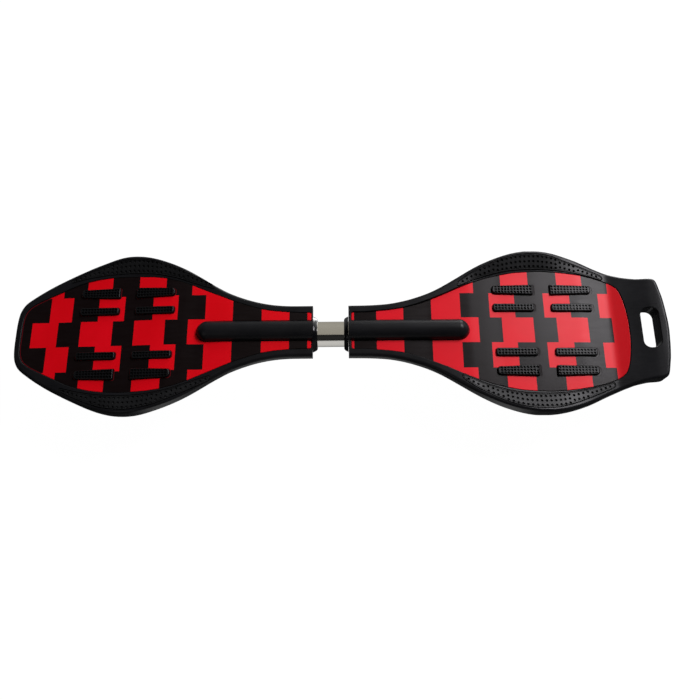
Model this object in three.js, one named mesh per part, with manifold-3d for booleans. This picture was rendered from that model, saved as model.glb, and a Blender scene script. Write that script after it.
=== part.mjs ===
// Caster board: two decks on one torsion tube, each deck on one inclined
// trailing caster wheel. Millimetres, +Z up. The nose points along -X, the tail
// with its carry handle along +X. Left and right are the rider's, facing the
// nose, so left is -Y. The floor is z = 0, where both wheels stand, and the
// origin is the centre of the bounding box on the floor.
import * as THREE from 'three';
import { mergeVertices } from 'three/addons/utils/BufferGeometryUtils.js';
import Module from 'manifold-3d';

const wasm = await Module();
wasm.setup();

// ---------------------------------------------------------------- dimensions
const X_SHIFT = 1.4;          // from the drawing datum to the box centre
const GAP = 0.3;              // clearance between neighbouring pieces

const Z_PANEL = 100;          // top of the printed panels at the neck
const PANEL_T = 1.4;          // thickness of the printed panels
const RIM_UP = 3;             // rim above the panel
const PLATE_DOWN = 5.4;       // underside of the deck plate below the panel top
const WALL_T = 3.2;           // side wall of the deck shells
const RIB_T = 2.6;

const Z_TUBE = 86.5;          // twist axis
const TUBE_R = 17;            // 34 mm tube
const TUBE_WALL = 3;
const TUBE_X0 = -148, TUBE_X1 = 134;
const BORE_R = TUBE_R + GAP;
const HOUSING_R = 24;         // tunnel under each deck
const HUMP_R = 14;            // half round ridge over the tunnel
const NOSE_NECK_X = -39, TAIL_NECK_X = 8.3;   // facing ends of the decks
const NOSE_HUMP_X = -192.5, TAIL_HUMP_X = 168;
const NOSE_BORE_X = -150, TAIL_BORE_X = 162;
const COLLAR_T = 6, COLLAR_R = 24, COLLAR_NOSE_R = 18.8;
const ROD_R = 5;              // torsion rod
const SLOT_ARC = 47 * Math.PI / 180;   // half angle of the arc slot that the stop bolt swings in

const WHEEL_R = 38;           // 76 mm wheel
const WHEEL_W = 24;
const RAKE = Math.PI / 6;     // swivel axis from vertical
const TRAIL = 22;             // axle behind the swivel axis
const DROP = 55;              // axle below the mounting face
const PIVOT_Z = WHEEL_R + DROP * Math.cos(RAKE) - TRAIL * Math.sin(RAKE);   // swivel axis at the mounting face
const NOSE_PIVOT_X = -311.5, TAIL_PIVOT_X = 223.5;
const PLATE_HALF = 27, PLATE_T = 3;
const SCREW_AT = 18.5;
const KINGPIN_R = 4, AXLE_R = 4;
const CROWN_Z = -8.9, CROWN_T = 3.5;
const LEG_IN = 14.5, LEG_T = 3;
const BEARING_R = 11, BEARING_W = 7;

const SLOT_X0 = 395.3, SLOT_X1 = 419, SLOT_HALF = 28.5, SLOT_R = 9;
const HANDLE_Z = 85;          // flat underside of the handle

// half width of each deck along x
const NOSE_W = [[-436.3, 12], [-435.8, 22], [-435, 29], [-434, 33.5], [-432, 38.8], [-430, 42.4],
  [-428, 45.4], [-424, 49.2], [-420, 52.3], [-410, 59.5], [-400, 65.9], [-390, 71.8], [-380, 77.2],
  [-370, 82.3], [-360, 87.2], [-350, 91.8], [-340, 96.2], [-330, 100.2], [-320, 104.1],
  [-310, 107.2], [-300, 109.5], [-290, 110.7], [-280, 111], [-270, 110.3], [-260, 108.5],
  [-250, 105.8], [-240, 102.4], [-230, 98.5], [-220, 94.19], [-210, 89.37], [-200, 83.96],
  [-190, 78.14], [-180, 71.93], [-170, 65.71], [-160, 60], [-150, 54.6], [-140, 50.3],
  [-130, 46.6], [-120, 43.4], [-110, 40.8], [-100, 38.7], [-90, 37.2], [-80, 36.2], [-70, 35.7],
  [-60, 35.6], [-39, 35.6]];
const TAIL_W = [[8.3, 35.8], [30, 36], [40, 36.3], [50, 36.9], [60, 37.7], [70, 39.3], [80, 41.4],
  [90, 44], [100, 47.1], [110, 50.6], [120, 54.9], [130, 60], [140, 65.8], [150, 71.9],
  [160, 78.02], [170, 84.04], [180, 89.66], [190, 94.78], [200, 99.3], [210, 103.22],
  [220, 106.64], [230, 109.6], [240, 111.9], [250, 113.4], [260, 114], [270, 113.9], [280, 112.8],
  [290, 110.7], [300, 107.9], [310, 104.4], [320, 100.4], [330, 96.2], [340, 91.6], [350, 86.8],
  [360, 82.09], [370, 77.88], [380, 74.4], [390, 72.1], [400, 70.9], [410, 70.6], [416, 70.2],
  [420, 69.1], [423, 67.2], [425, 64.9], [427, 58.88], [429, 49.75], [431, 37.12], [432.3, 25.54],
  [433.1, 15], [433.5, 8]];
// half width of each printed panel
const NOSE_P = [[-427.3, 12], [-426.6, 24], [-425, 30.5], [-423, 34.6], [-420, 38.6], [-415, 42.6],
  [-410, 45.8], [-399, 51.4], [-380, 60], [-360, 69.4], [-347, 74.6], [-330, 79], [-311, 81.5],
  [-290, 82.3], [-275, 82], [-255, 80.9], [-238, 78.6], [-220, 73.4], [-202, 66.77], [-185, 59.5],
  [-165, 51.11], [-145, 42.7], [-125, 36.1], [-107, 30.7], [-90, 27.9], [-71, 26.2], [-55, 25.3],
  [-41, 24.9]];
const TAIL_P = [[10.8, 24.6], [30, 25.6], [45, 26.8], [62, 28.4], [81, 31.2], [100, 36.51],
  [118, 43.2], [137, 51], [156, 59.8], [175, 67.59], [194, 74.2], [213, 79.2], [232, 82.7],
  [251, 84.22], [270, 85], [290, 84.64], [308, 82.7], [326, 79.57], [340, 75.82], [352, 71.67],
  [361, 67.8], [367, 63.81], [371.6, 59.14], [375, 51.09], [377.6, 40.05], [379.6, 27.02],
  [381, 12]];
// height of the panel top against the neck
const PROFILE = [[-440, -9.2], [-420, -8.7], [-400, -7.6], [-380, -6.3], [-360, -4.9],
  [-340, -3.7], [-320, -2.8], [-300, -2.1], [-280, -1.5], [-260, -0.8], [-240, 0], [170, 0],
  [190, -0.9], [210, -1.7], [230, -2.2], [245, -2.5], [260, -2.9], [280, -3.9], [300, -5.4],
  [320, -7.1], [335, -8.4], [348, -9.3], [358, -9.4], [366, -8.6], [374, -7.2], [382, -5.4],
  [390, -3.5], [400, -1.2], [410, 1], [420, 2.7], [430, 4], [440, 5]];
// depth of the side walls from the rim
const DEPTH = [[-436.3, 14], [-420, 15], [-400, 16], [-350, 17.5], [-300, 18], [-220, 18], [-150, 15],
  [-90, 13.5], [-39, 13], [8.3, 13], [60, 13.5], [130, 15], [200, 18], [280, 18], [340, 16],
  [360, 16], [376, 18]];

const NOSE_GRIP = { outer: [[-367.5, 77.6], [-341.4, 90.9], [-310.6, 103.2], [-278.9, 107.2], [-247, 101.6],
  [-214.6, 88.2], [-182.6, 72.2], [-171.9, 65]], inner: [[-367.5, 75.4], [-348.7, 79.2], [-319.5, 84.2], [-287.8, 86.2],
  [-256.1, 84.8], [-224.4, 78.6], [-192.7, 67.8], [-171.9, 62.6]] };
const TAIL_GRIP = { outer: [[357.5, 76], [339, 87], [311, 99.8], [277, 108.6], [243.5, 108.4], [211, 100], [178, 82.6],
  [157.5, 66.5]], inner: [[357.5, 72.9], [352.4, 74.2], [322.4, 82.2], [288.3, 86.8], [254.5, 87], [221.6, 83.6],
  [188.8, 75.4], [157.5, 64]] };

// ------------------------------------------------------------------ materials
const mat = (color, roughness, metalness = 0) => new THREE.MeshStandardMaterial({ color, roughness, metalness });
const M = {
  shell: () => mat(0x15161a, 0.5),
  panel: () => mat(0xd01018, 0.35),
  grip: () => mat(0x1c1d20, 0.75),
  pad: () => mat(0x0f0f11, 0.6),
  collar: () => mat(0x0c0c0e, 0.25),
  chrome: () => mat(0xc9c6c0, 0.12, 1),
  steel: () => mat(0x9a9da2, 0.35, 1),
  zinc: () => mat(0xb4b8bc, 0.4, 1),
  black: () => mat(0x1a1a1c, 0.35, 0.6),
  tyre: () => mat(0x1b1b1d, 0.45),
  hub: () => mat(0xe8e8e6, 0.45),
  plug: () => mat(0x2a2a2c, 0.6),
};

// -------------------------------------------------------------------- helpers
function at(table, x) {
  if (x <= table[0][0]) return table[0][1];
  for (let i = 1; i < table.length; i++) {
    if (x <= table[i][0]) {
      const [x0, a] = table[i - 1], [x1, b] = table[i];
      return a + (b - a) * (x - x0) / (x1 - x0);
    }
  }
  return table[table.length - 1][1];
}
const top = (x) => Z_PANEL + at(PROFILE, x);          // panel surface
const bottom = (x) => (x > 386 ? HANDLE_Z : x > 376
  ? top(x) + RIM_UP - at(DEPTH, x) + (HANDLE_Z - (top(x) + RIM_UP - at(DEPTH, x))) * (x - 376) / 10
  : top(x) + RIM_UP - at(DEPTH, x));

function indexed(positions, index) {
  // closed surface from points and triangles, turned outwards
  let volume = 0;
  for (let i = 0; i < index.length; i += 3) {
    const [a, b, c] = [index[i], index[i + 1], index[i + 2]].map((k) => new THREE.Vector3(...positions[k]));
    volume += a.dot(b.cross(c));
  }
  if (volume < 0) for (let i = 0; i < index.length; i += 3) [index[i + 1], index[i + 2]] = [index[i + 2], index[i + 1]];
  const g = new THREE.BufferGeometry();
  g.setAttribute('position', new THREE.Float32BufferAttribute(positions.flat(), 3));
  g.setIndex(index);
  return g;
}

// sections: [x, [[y, z], ...]], the same number of points in each
function loft(sections) {
  const n = sections[0][1].length;
  const positions = [], index = [];
  for (const [x, pts] of sections) for (const [y, z] of pts) positions.push([x, y, z]);
  for (let s = 0; s + 1 < sections.length; s++) {
    for (let i = 0; i < n; i++) {
      const a = s * n + i, b = s * n + (i + 1) % n, c = a + n, d = b + n;
      index.push(a, c, b, b, c, d);
    }
  }
  const cap = (s, flip) => {
    const contour = sections[s][1].map(([y, z]) => new THREE.Vector2(y, z));
    const area = THREE.ShapeUtils.area(contour);
    for (const f of THREE.ShapeUtils.triangulateShape(contour, [])) {
      const t = f.map((k) => s * n + k);
      if (flip !== (area < 0)) t.reverse();
      index.push(...t);
    }
  };
  cap(0, true);
  cap(sections.length - 1, false);
  return fixWinding(positions, index);
}

// upright prism over a plan outline, its faces at lo(x) and hi(x)
function slab(outline, lo, hi) {
  const contour = outline.map(([x, y]) => new THREE.Vector2(x, y));
  if (THREE.ShapeUtils.area(contour) < 0) contour.reverse();
  const n = contour.length;
  const positions = [];
  for (const p of contour) positions.push([p.x, p.y, lo(p.x)]);
  for (const p of contour) positions.push([p.x, p.y, hi(p.x)]);
  const index = [];
  for (const [a, b, c] of THREE.ShapeUtils.triangulateShape(contour, [])) {
    index.push(a, c, b, a + n, b + n, c + n);
  }
  for (let i = 0; i < n; i++) {
    const j = (i + 1) % n;
    index.push(i, j, j + n, i, j + n, i + n);
  }
  return indexed(positions, index);
}

// makes neighbouring triangles agree, then turns the whole surface outwards
function fixWinding(positions, index) {
  const edges = new Map();
  const tris = [];
  for (let i = 0; i < index.length; i += 3) tris.push([index[i], index[i + 1], index[i + 2]]);
  tris.forEach((t, k) => { for (let e = 0; e < 3; e++) {
    const a = t[e], b = t[(e + 1) % 3], key = a < b ? `${a}_${b}` : `${b}_${a}`;
    if (!edges.has(key)) edges.set(key, []);
    edges.get(key).push(k);
  } });
  const seen = new Uint8Array(tris.length);
  for (let s = 0; s < tris.length; s++) {
    if (seen[s]) continue;
    seen[s] = 1;
    const queue = [s];
    while (queue.length) {
      const k = queue.pop(), t = tris[k];
      for (let e = 0; e < 3; e++) {
        const a = t[e], b = t[(e + 1) % 3], key = a < b ? `${a}_${b}` : `${b}_${a}`;
        for (const m of edges.get(key)) {
          if (seen[m]) continue;
          const u = tris[m];
          for (let f = 0; f < 3; f++) if (u[f] === a && u[(f + 1) % 3] === b) { u.reverse(); break; }
          seen[m] = 1;
          queue.push(m);
        }
      }
    }
  }
  return indexed(positions, tris.flat());
}

function solid(geometry, matrix) {
  let g = geometry.clone();
  g.deleteAttribute('normal');
  g.deleteAttribute('uv');
  if (matrix) g.applyMatrix4(matrix);
  g = mergeVertices(g, 1e-4);
  return new wasm.Manifold(new wasm.Mesh({
    numProp: 3,
    vertProperties: new Float32Array(g.attributes.position.array),
    triVerts: new Uint32Array(g.index.array),
  }));
}
function geometryOf(manifold) {
  const m = manifold.getMesh();
  const g = new THREE.BufferGeometry();
  const p = new Float32Array(m.vertProperties.length / m.numProp * 3);
  for (let i = 0; i < p.length / 3; i++) for (let k = 0; k < 3; k++) p[3 * i + k] = m.vertProperties[m.numProp * i + k];
  g.setAttribute('position', new THREE.BufferAttribute(p, 3));
  g.setIndex(new THREE.BufferAttribute(new Uint32Array(m.triVerts), 1));
  g.computeVertexNormals();
  return g;
}
const join = (list) => list.slice(1).reduce((a, b) => a.add(b), list[0]);
const cut = (a, list) => list.reduce((s, b) => s.subtract(b), a);

const move = (x, y, z) => new THREE.Matrix4().makeTranslation(x, y, z);
const box = (x0, x1, y0, y1, z0, z1) => {
  const g = new THREE.BoxGeometry(x1 - x0, y1 - y0, z1 - z0);
  g.translate((x0 + x1) / 2, (y0 + y1) / 2, (z0 + z1) / 2);
  return g;
};
// round bar along X, Y or Z, between two stations on that axis
function bar(axis, r, a, b, c1 = 0, c2 = 0, n = 20, r2 = r) {
  const g = new THREE.CylinderGeometry(r2, r, b - a, n);    // r at a, r2 at b
  g.translate(0, (a + b) / 2, 0);
  if (axis === 'x') { g.rotateZ(-Math.PI / 2); g.translate(0, c1, c2); }
  if (axis === 'y') g.translate(c1, 0, c2);
  if (axis === 'z') { g.rotateX(Math.PI / 2); g.translate(c1, c2, 0); }
  return g;
}
// ring turned about X or Y: profile [[r, along], ...], closed on itself
function turned(axis, profile, n, c1 = 0, c2 = 0) {
  const g = new THREE.LatheGeometry([...profile, profile[0]].map(([r, h]) => new THREE.Vector2(r, h)), n);
  if (axis === 'x') { g.rotateZ(-Math.PI / 2); g.translate(0, c1, c2); }
  if (axis === 'z') { g.rotateX(Math.PI / 2); g.translate(c1, c2, 0); }
  if (axis === 'y') g.translate(c1, 0, c2);
  return g;
}
const ofSolid = (g, m) => geometryOf(solid(g, m));

function offset(outline, d) {
  const pts = outline.map(([x, y]) => new THREE.Vector2(x, y));
  if (THREE.ShapeUtils.area(pts) < 0) pts.reverse();
  const n = pts.length;
  return pts.map((p, i) => {
    const a = pts[(i + n - 1) % n], b = pts[(i + 1) % n];
    const u = p.clone().sub(a).normalize(), v = b.clone().sub(p).normalize();
    const nu = new THREE.Vector2(u.y, -u.x), nv = new THREE.Vector2(v.y, -v.x);
    const m = nu.clone().add(nv).normalize();
    const k = d / Math.max(0.45, m.dot(nu));
    return [p.x + m.x * k, p.y + m.y * k];
  });
}

// ------------------------------------------------------------- deck outlines
// stations along x where straight lines between them stay within tol of both
// the table and the height profile
function stationsOf(table, x0, x1, extra = [], tol = 0.3) {
  const all = [...new Set([...table.map(([x]) => x), ...PROFILE.map(([x]) => x), ...extra])]
    .filter((x) => x >= x0 && x <= x1).sort((a, b) => a - b);
  const kept = [0];
  while (kept[kept.length - 1] < all.length - 1) {
    const i = kept[kept.length - 1];
    let j = i + 1;
    const fits = (k) => {
      for (let m = i + 1; m < k; m++) for (const f of [(x) => at(table, x), top]) {
        const t = (all[m] - all[i]) / (all[k] - all[i]);
        if (Math.abs(f(all[m]) - (f(all[i]) * (1 - t) + f(all[k]) * t)) > tol) return false;
      }
      return true;
    };
    while (j + 1 < all.length && fits(j + 1)) j++;
    kept.push(j);
  }
  return kept.map((i) => all[i]);
}

function outerLoft(W, x0, x1) {
  return loft(stationsOf(W, x0, x1).map((x) => {
    const w = at(W, x), z = top(x), b = bottom(x);
    const half = [[w - 1.4, b], [w, b + 2], [w, z - 0.6], [w - 1.1, z + 1.9], [w - 3.2, z + RIM_UP]];
    return [x, [...half, ...half.slice().reverse().map(([y, q]) => [-y, q])]];
  }));
}
function innerLoft(W, x0, x1, thin) {
  const xs = stationsOf(W, x0, x1, [x0, x1], 0.5);
  return loft(xs.map((x) => {
    const slope = (at(W, x + 3) - at(W, x - 3)) / 6;
    const w = at(W, x) - WALL_T * Math.sqrt(1 + slope * slope), z = top(x) - PLATE_DOWN, b = bottom(x) - 3;
    const half = [[w, b], [w, z - 2.5], [w - 2.5, z]];
    return [x, [...half, ...half.slice().reverse().map(([y, q]) => [-y, q])]];
  }));
}
// plate between two heights over the panel's plan
function panelLoft(P, x0, x1, grow, lo, hi) {
  const xs = stationsOf(P, x0, x1, [x0, x1]);
  return loft(xs.map((x, i) => {
    const w = at(P, x) + grow, z = top(x);
    const xx = i === 0 ? x - grow : i === xs.length - 1 ? x + grow : x;
    return [xx, [[w, z + lo], [w, z + hi], [-w, z + hi], [-w, z + lo]]];
  }));
}

// side grip as a loft along x between its inner and outer edges
function gripLoft(g, sideY, grow, lo, hi) {
  const edge = (pts) => {
    const c = new THREE.SplineCurve(pts.slice().sort((p, q) => p[0] - q[0]).map(([x, y]) => new THREE.Vector2(x, y)));
    return c.getPoints(120).map((p) => [p.x, p.y]);
  };
  const outer = edge(g.outer), inner = edge(g.inner);
  const x0 = outer[0][0], x1 = outer[outer.length - 1][0];
  const sections = [];
  const add = (x, xx) => {
    const a = at(inner, x) - grow, b = at(outer, x) + grow, z = top(x);
    sections.push([xx, [[sideY * a, z + lo], [sideY * b, z + lo], [sideY * b, z + hi], [sideY * a, z + hi]]]);
  };
  const n = 14;
  for (let i = 0; i <= n; i++) {
    const x = x0 + (x1 - x0) * (0.5 - 0.5 * Math.cos(Math.PI * i / n));
    add(x, i === 0 ? x - grow : i === n ? x + grow : x);
  }
  return loft(sections);
}

// ------------------------------------------------------------- traction pads
// Bars stand through the panel in pairs, on a web under it.
function innerBar(x0, x1, yc, halfW) {
  const pts = [], c = halfW * 0.55;
  for (const [cx, cy, a0] of [[x1 - c, yc + halfW - c, 0], [x0 + c, yc + halfW - c, 90], [x0 + c, yc - halfW + c, 180],
    [x1 - c, yc - halfW + c, 270]]) for (const a of [0, 45, 90]) {
    const t = (a0 + a) * Math.PI / 180;
    pts.push([cx + c * Math.cos(t), cy + c * Math.sin(t)]);
  }
  return pts;
}
function outerBar(xSquare, xRound, yc, halfSquare, halfRound) {
  const s = Math.sign(xRound - xSquare), c = halfRound * 0.62, q = 1.6;
  const pts = [[xSquare + s * q, yc - halfSquare], [xRound - s * c, yc - halfRound],
    [xRound - s * c * 0.3, yc - halfRound + c * 0.3], [xRound, yc - halfRound + c], [xRound, yc + halfRound - c],
    [xRound - s * c * 0.3, yc + halfRound - c * 0.3], [xRound - s * c, yc + halfRound], [xSquare + s * q, yc + halfSquare],
    [xSquare, yc + halfSquare - q], [xSquare, yc - halfSquare + q]];
  return pts;
}
const PADS = {
  nose_pad_front: { x0: -350.5, x1: -298.5, square: -298.5, round: -350.5, inW: 4.9 },
  nose_pad_rear: { x0: -276, x1: -224, square: -276, round: -224, inW: 4.9 },
  tail_pad_front: { x0: 201.5, x1: 256.5, square: 256.5, round: 201.5, inW: 5.3 },
  tail_pad_rear: { x0: 280, x1: 335.5, square: 280, round: 335.5, inW: 5.3 },
};
function padShapes(p, side) {
  return {
    inner: innerBar(p.x0, p.x1, side * 31.3, p.inW),
    outer: outerBar(p.square, p.round, side * 57, 7.2, 5.5),
    web: [[p.x0 - 0.2, side * 26], [p.x1 + 0.2, side * 26], [p.x1 + 0.2, side * 64.6], [p.x0 - 0.2, side * 64.6]],
  };
}
function padSolid(p, side) {
  const s = padShapes(p, side);
  return join([
    solid(slab(s.web, (x) => top(x) - 2.8, (x) => top(x) - 2)),
    solid(slab(s.inner, (x) => top(x) - 2.6, (x) => top(x) + 3.4)),
    solid(slab(s.outer, (x) => top(x) - 2.6, (x) => top(x) + 3.4)),
  ]);
}
const padHoles = (p, side) => {
  const s = padShapes(p, side);
  return [s.inner, s.outer].map((o) => solid(slab(offset(o, GAP), (x) => top(x) - 6, (x) => top(x) + 6)));
};
const padPockets = (p, side) => {
  const s = padShapes(p, side);
  return [solid(slab(offset(s.web, GAP), (x) => top(x) - 3.1, (x) => top(x) + 4))];
};

// ------------------------------------------------------------------- casters
const roundedRect = (hx, hy, r) => {
  const pts = [];
  for (const [cx, cy, a0] of [[hx - r, hy - r, 0], [-hx + r, hy - r, 90], [-hx + r, -hy + r, 180], [hx - r, -hy + r, 270]]) {
    for (const a of [0, 45, 90]) {
      const t = (a0 + a) * Math.PI / 180;
      pts.push([cx + r * Math.cos(t), cy + r * Math.sin(t)]);
    }
  }
  return pts;
};
const casterMatrix = (x) => move(x, 0, PIVOT_Z).multiply(new THREE.Matrix4().makeRotationY(-RAKE));
const screwSpots = [[-SCREW_AT, -SCREW_AT], [-SCREW_AT, SCREW_AT], [SCREW_AT, -SCREW_AT], [SCREW_AT, SCREW_AT]];

// moulded wedge under a deck that carries the caster's mounting plate
function pedestal(x) {
  const m = casterMatrix(x);
  const block = solid(slab(roundedRect(26, 30, 7).map(([a, b]) => [a + x, b]), () => 45, () => 94.5));
  const below = solid(box(-80, 80, -80, 80, -120, 0), m);
  return block.subtract(below);
}
function pedestalCuts(x) {
  const m = casterMatrix(x);
  return [
    solid(bar('z', 8, -4, 5.6, 0, 0, 20), m),
    ...screwSpots.map(([a, b]) => solid(bar('z', 2.5, -4, 11.2, a, b, 10), m)),
  ];
}

// --------------------------------------------------------------- deck shells
function tubeHousing(x0, x1) {
  const round = solid(bar('x', HOUSING_R, x0, x1, 0, Z_TUBE, 36));
  return round.intersect(solid(box(x0 - 5, x1 + 5, -40, 40, 40, 96.4)));
}
function hump(x0, x1, xEnd) {
  const parts = [solid(bar('x', HUMP_R, Math.min(x0, x1), Math.max(x0, x1), 0, Z_PANEL, 24))];
  const ball = new THREE.SphereGeometry(HUMP_R, 24, 12);
  ball.rotateX(Math.PI / 2);
  ball.rotateZ(Math.PI / 2);
  ball.rotateX(Math.PI / 2);
  parts.push(solid(ball, move(xEnd, 0, Z_PANEL)));
  return join(parts).intersect(solid(box(-500, 500, -40, 40, 96, 130)));
}
function bolts(list) {      // seat and hole for each vertical bolt in a housing
  return list.flatMap(([x, zTip]) => [
    solid(bar('z', 6.6, 50, Z_TUBE - 21, x, 0, 14)),
    solid(bar('z', 3.4, 55, zTip + 0.4, x, 0, 10)),
  ]);
}
const NOSE_BOLTS = [[-75, 75.4], [-133, 79]];
const TAIL_BOLTS = [[70, 75.4], [148, 79]];

function deckShell(side) {
  const nose = side === 'nose';
  const W = nose ? NOSE_W : TAIL_W, P = nose ? NOSE_P : TAIL_P;
  const x0 = W[0][0], x1 = W[W.length - 1][0];
  const outer = solid(outerLoft(W, x0, x1));
  const cavity = solid(nose ? innerLoft(W, -427, -43) : innerLoft(W, 12.3, 386));
  let s = outer.subtract(cavity);

  const cross = nose ? [-100, -170, -240, -311.5, -383] : [80, 152, 223.5, 280, 335];
  const ribs = cross.map((x) => solid(box(x - RIB_T / 2, x + RIB_T / 2, -120, 120, 60, 98)));
  const long = nose ? [[-425, -150, 38]] : [[130, 385, 38]];
  for (const [a, b, y] of long) for (const k of [-1, 1]) ribs.push(solid(box(a, b, k * y - RIB_T / 2, k * y + RIB_T / 2, 60, 98)));
  // ribs stop at the deck plate and inside the outline
  const plateTop = solid(loft(stationsOf(PROFILE, x0, x1, [x0, x1]).map((x) => [x,
    [[130, 40], [130, top(x) - 4], [-130, top(x) - 4], [-130, 40]]])));
  s = s.add(join(ribs).intersect(outer).intersect(plateTop));

  s = s.add(nose ? tubeHousing(-194, NOSE_NECK_X) : tubeHousing(TAIL_NECK_X, 170));
  const px = nose ? NOSE_PIVOT_X : TAIL_PIVOT_X;
  s = s.add(pedestal(px));

  const pads = Object.entries(PADS).filter(([k]) => k.startsWith(side));
  s = s.subtract(solid(panelLoft(P, P[0][0], P[P.length - 1][0], GAP, -PANEL_T - GAP, 8)));
  s = s.add(nose ? hump(NOSE_HUMP_X + HUMP_R, NOSE_NECK_X, NOSE_HUMP_X + HUMP_R)
    : hump(TAIL_NECK_X, TAIL_HUMP_X - HUMP_R, TAIL_HUMP_X - HUMP_R));
  s = cut(s, pads.flatMap(([, p]) => [...padPockets(p, 1), ...padPockets(p, -1)]));
  s = cut(s, [1, -1].map((k) => solid(gripLoft(nose ? NOSE_GRIP : TAIL_GRIP, k, GAP, 0.9, 9))));
  s = s.subtract(solid(nose ? bar('x', BORE_R, NOSE_BORE_X, NOSE_NECK_X + 20, 0, Z_TUBE, 32)
    : bar('x', BORE_R, TAIL_NECK_X - 20, TAIL_BORE_X, 0, Z_TUBE, 32)));
  s = cut(s, bolts(nose ? NOSE_BOLTS : TAIL_BOLTS));
  s = cut(s, pedestalCuts(px));
  if (!nose) {
    const cx = (SLOT_X0 + SLOT_X1) / 2, hx = (SLOT_X1 - SLOT_X0) / 2;
    s = s.subtract(solid(slab(roundedRect(hx, SLOT_HALF, SLOT_R).map(([a, b]) => [a + cx, b]), () => 60, () => 130)));
  }
  return geometryOf(s);
}

function deckPanel(side) {
  const nose = side === 'nose';
  const P = nose ? NOSE_P : TAIL_P;
  let s = solid(panelLoft(P, P[0][0], P[P.length - 1][0], 0, -PANEL_T, 0));
  const cx = nose ? NOSE_HUMP_X + HUMP_R : TAIL_HUMP_X - HUMP_R;
  const slotX = nose ? [cx, -20] : [-10, cx];
  const ease = HUMP_R + GAP;
  s = s.subtract(solid(box(slotX[0], slotX[1], -ease, ease, 80, 130)));
  s = s.subtract(solid(bar('z', ease / Math.cos(Math.PI / 24), 80, 130, cx, 0, 24)));
  const pads = Object.entries(PADS).filter(([k]) => k.startsWith(side));
  s = cut(s, pads.flatMap(([, p]) => [...padHoles(p, 1), ...padHoles(p, -1)]));
  return geometryOf(s);
}

// ------------------------------------------------------------------ assembly
const board = new THREE.Group();
board.position.set(X_SHIFT, 0, 0);
function add(parent, name, geometry, material) {
  const mesh = new THREE.Mesh(geometry, material);
  mesh.name = name;
  parent.add(mesh);
  return mesh;
}

for (const side of ['nose', 'tail']) {
  add(board, `${side}_deck_shell`, deckShell(side), M.shell());
  add(board, `${side}_deck_panel`, deckPanel(side), M.panel());
  const grip = side === 'nose' ? NOSE_GRIP : TAIL_GRIP;
  add(board, `${side}_side_grip_right`, ofSolid(gripLoft(grip, 1, 0, 1.2, 3.7)), M.grip());
  add(board, `${side}_side_grip_left`, ofSolid(gripLoft(grip, -1, 0, 1.2, 3.7)), M.grip());
}
for (const [name, p] of Object.entries(PADS)) {
  add(board, `${name}_right`, geometryOf(padSolid(p, 1)), M.pad());
  add(board, `${name}_left`, geometryOf(padSolid(p, -1)), M.pad());
}

// collars that close the tunnels
{
  const ring = [[TUBE_R + GAP, 0], [COLLAR_NOSE_R + 0.6, 0], [COLLAR_R, COLLAR_T - 3],
    [COLLAR_R, COLLAR_T - GAP], [TUBE_R + GAP, COLLAR_T - GAP]];
  const tail = turned('x', ring, 32, 0, Z_TUBE);
  add(board, 'tail_collar', ofSolid(tail, move(TAIL_NECK_X - COLLAR_T, 0, 0)), M.collar());
  const noseRing = ring.map(([r, h]) => [r, -h]).reverse();
  const nose = turned('x', noseRing, 32, 0, Z_TUBE);
  add(board, 'nose_collar', ofSolid(nose, move(NOSE_NECK_X + COLLAR_T, 0, 0)), M.collar());
}

// torsion tube, with bolt holes and the arc slot that limits the twist
{
  const r = TUBE_R, q = TUBE_R - TUBE_WALL;
  let tube = solid(turned('x', [[q, TUBE_X0], [r, TUBE_X0], [r, TUBE_X1], [q, TUBE_X1]], 36, 0, Z_TUBE));
  tube = cut(tube, [-75, -133].map((x) => solid(bar('z', 3.3, 50, Z_TUBE, x, 0, 12))));
  const arc = [];
  for (let i = -5; i <= 5; i++) arc.push([22 * Math.sin(i * SLOT_ARC / 5), -22 * Math.cos(i * SLOT_ARC / 5)]);
  const sector = new THREE.Shape([new THREE.Vector2(0, -1), ...arc.map(([y, z]) => new THREE.Vector2(y, z))]);
  const g = new THREE.ExtrudeGeometry(sector, { depth: 6.8, bevelEnabled: false });
  g.rotateX(Math.PI / 2);
  g.rotateZ(Math.PI / 2);
  tube = tube.subtract(solid(g, move(70 - 3.4, 0, Z_TUBE)));
  add(board, 'torsion_tube', geometryOf(tube), M.chrome());
}
for (const [name, x, tip] of [['nose_clamp_bolt', ...NOSE_BOLTS[0]], ['nose_plug_bolt', ...NOSE_BOLTS[1]],
  ['tail_stop_bolt', ...TAIL_BOLTS[0]], ['tail_plug_bolt', ...TAIL_BOLTS[1]]]) {
  const seat = Z_TUBE - 21 - GAP;
  add(board, name, geometryOf(solid(bar('z', 5.8, seat - 3.4, seat, x, 0, 14)).add(solid(bar('z', 3, seat - 1, tip, x, 0, 10)))), M.black());
}
// plugs that hold the torsion rod
{
  const nose = cut(solid(bar('x', TUBE_R - TUBE_WALL - GAP, -146, -120, 0, Z_TUBE, 36)), [
    solid(bar('x', ROD_R + 0.5, -142, -100, 0, Z_TUBE, 20)),
    solid(bar('z', 3.3, 50, NOSE_BOLTS[1][1] + 0.4, -133, 0, 12)),
  ]);
  add(board, 'nose_end_plug', geometryOf(nose), M.plug());
  const tail = cut(solid(bar('x', TUBE_R - 0.1, 137, 160, 0, Z_TUBE, 36)), [
    solid(box(130, 158.8, -5, 5, Z_TUBE - 5, Z_TUBE + 5)),
    solid(bar('z', 3.3, 50, TAIL_BOLTS[1][1] + 0.4, 148, 0, 12)),
  ]);
  add(board, 'tail_end_plug', geometryOf(tail), M.plug());
  const rod = solid(bar('x', ROD_R, -141, 137, 0, Z_TUBE, 20)).add(solid(box(136, 158.4, -4.7, 4.7, Z_TUBE - 4.7, Z_TUBE + 4.7)));
  add(board, 'torsion_rod', geometryOf(rod), M.steel());
}

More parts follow.
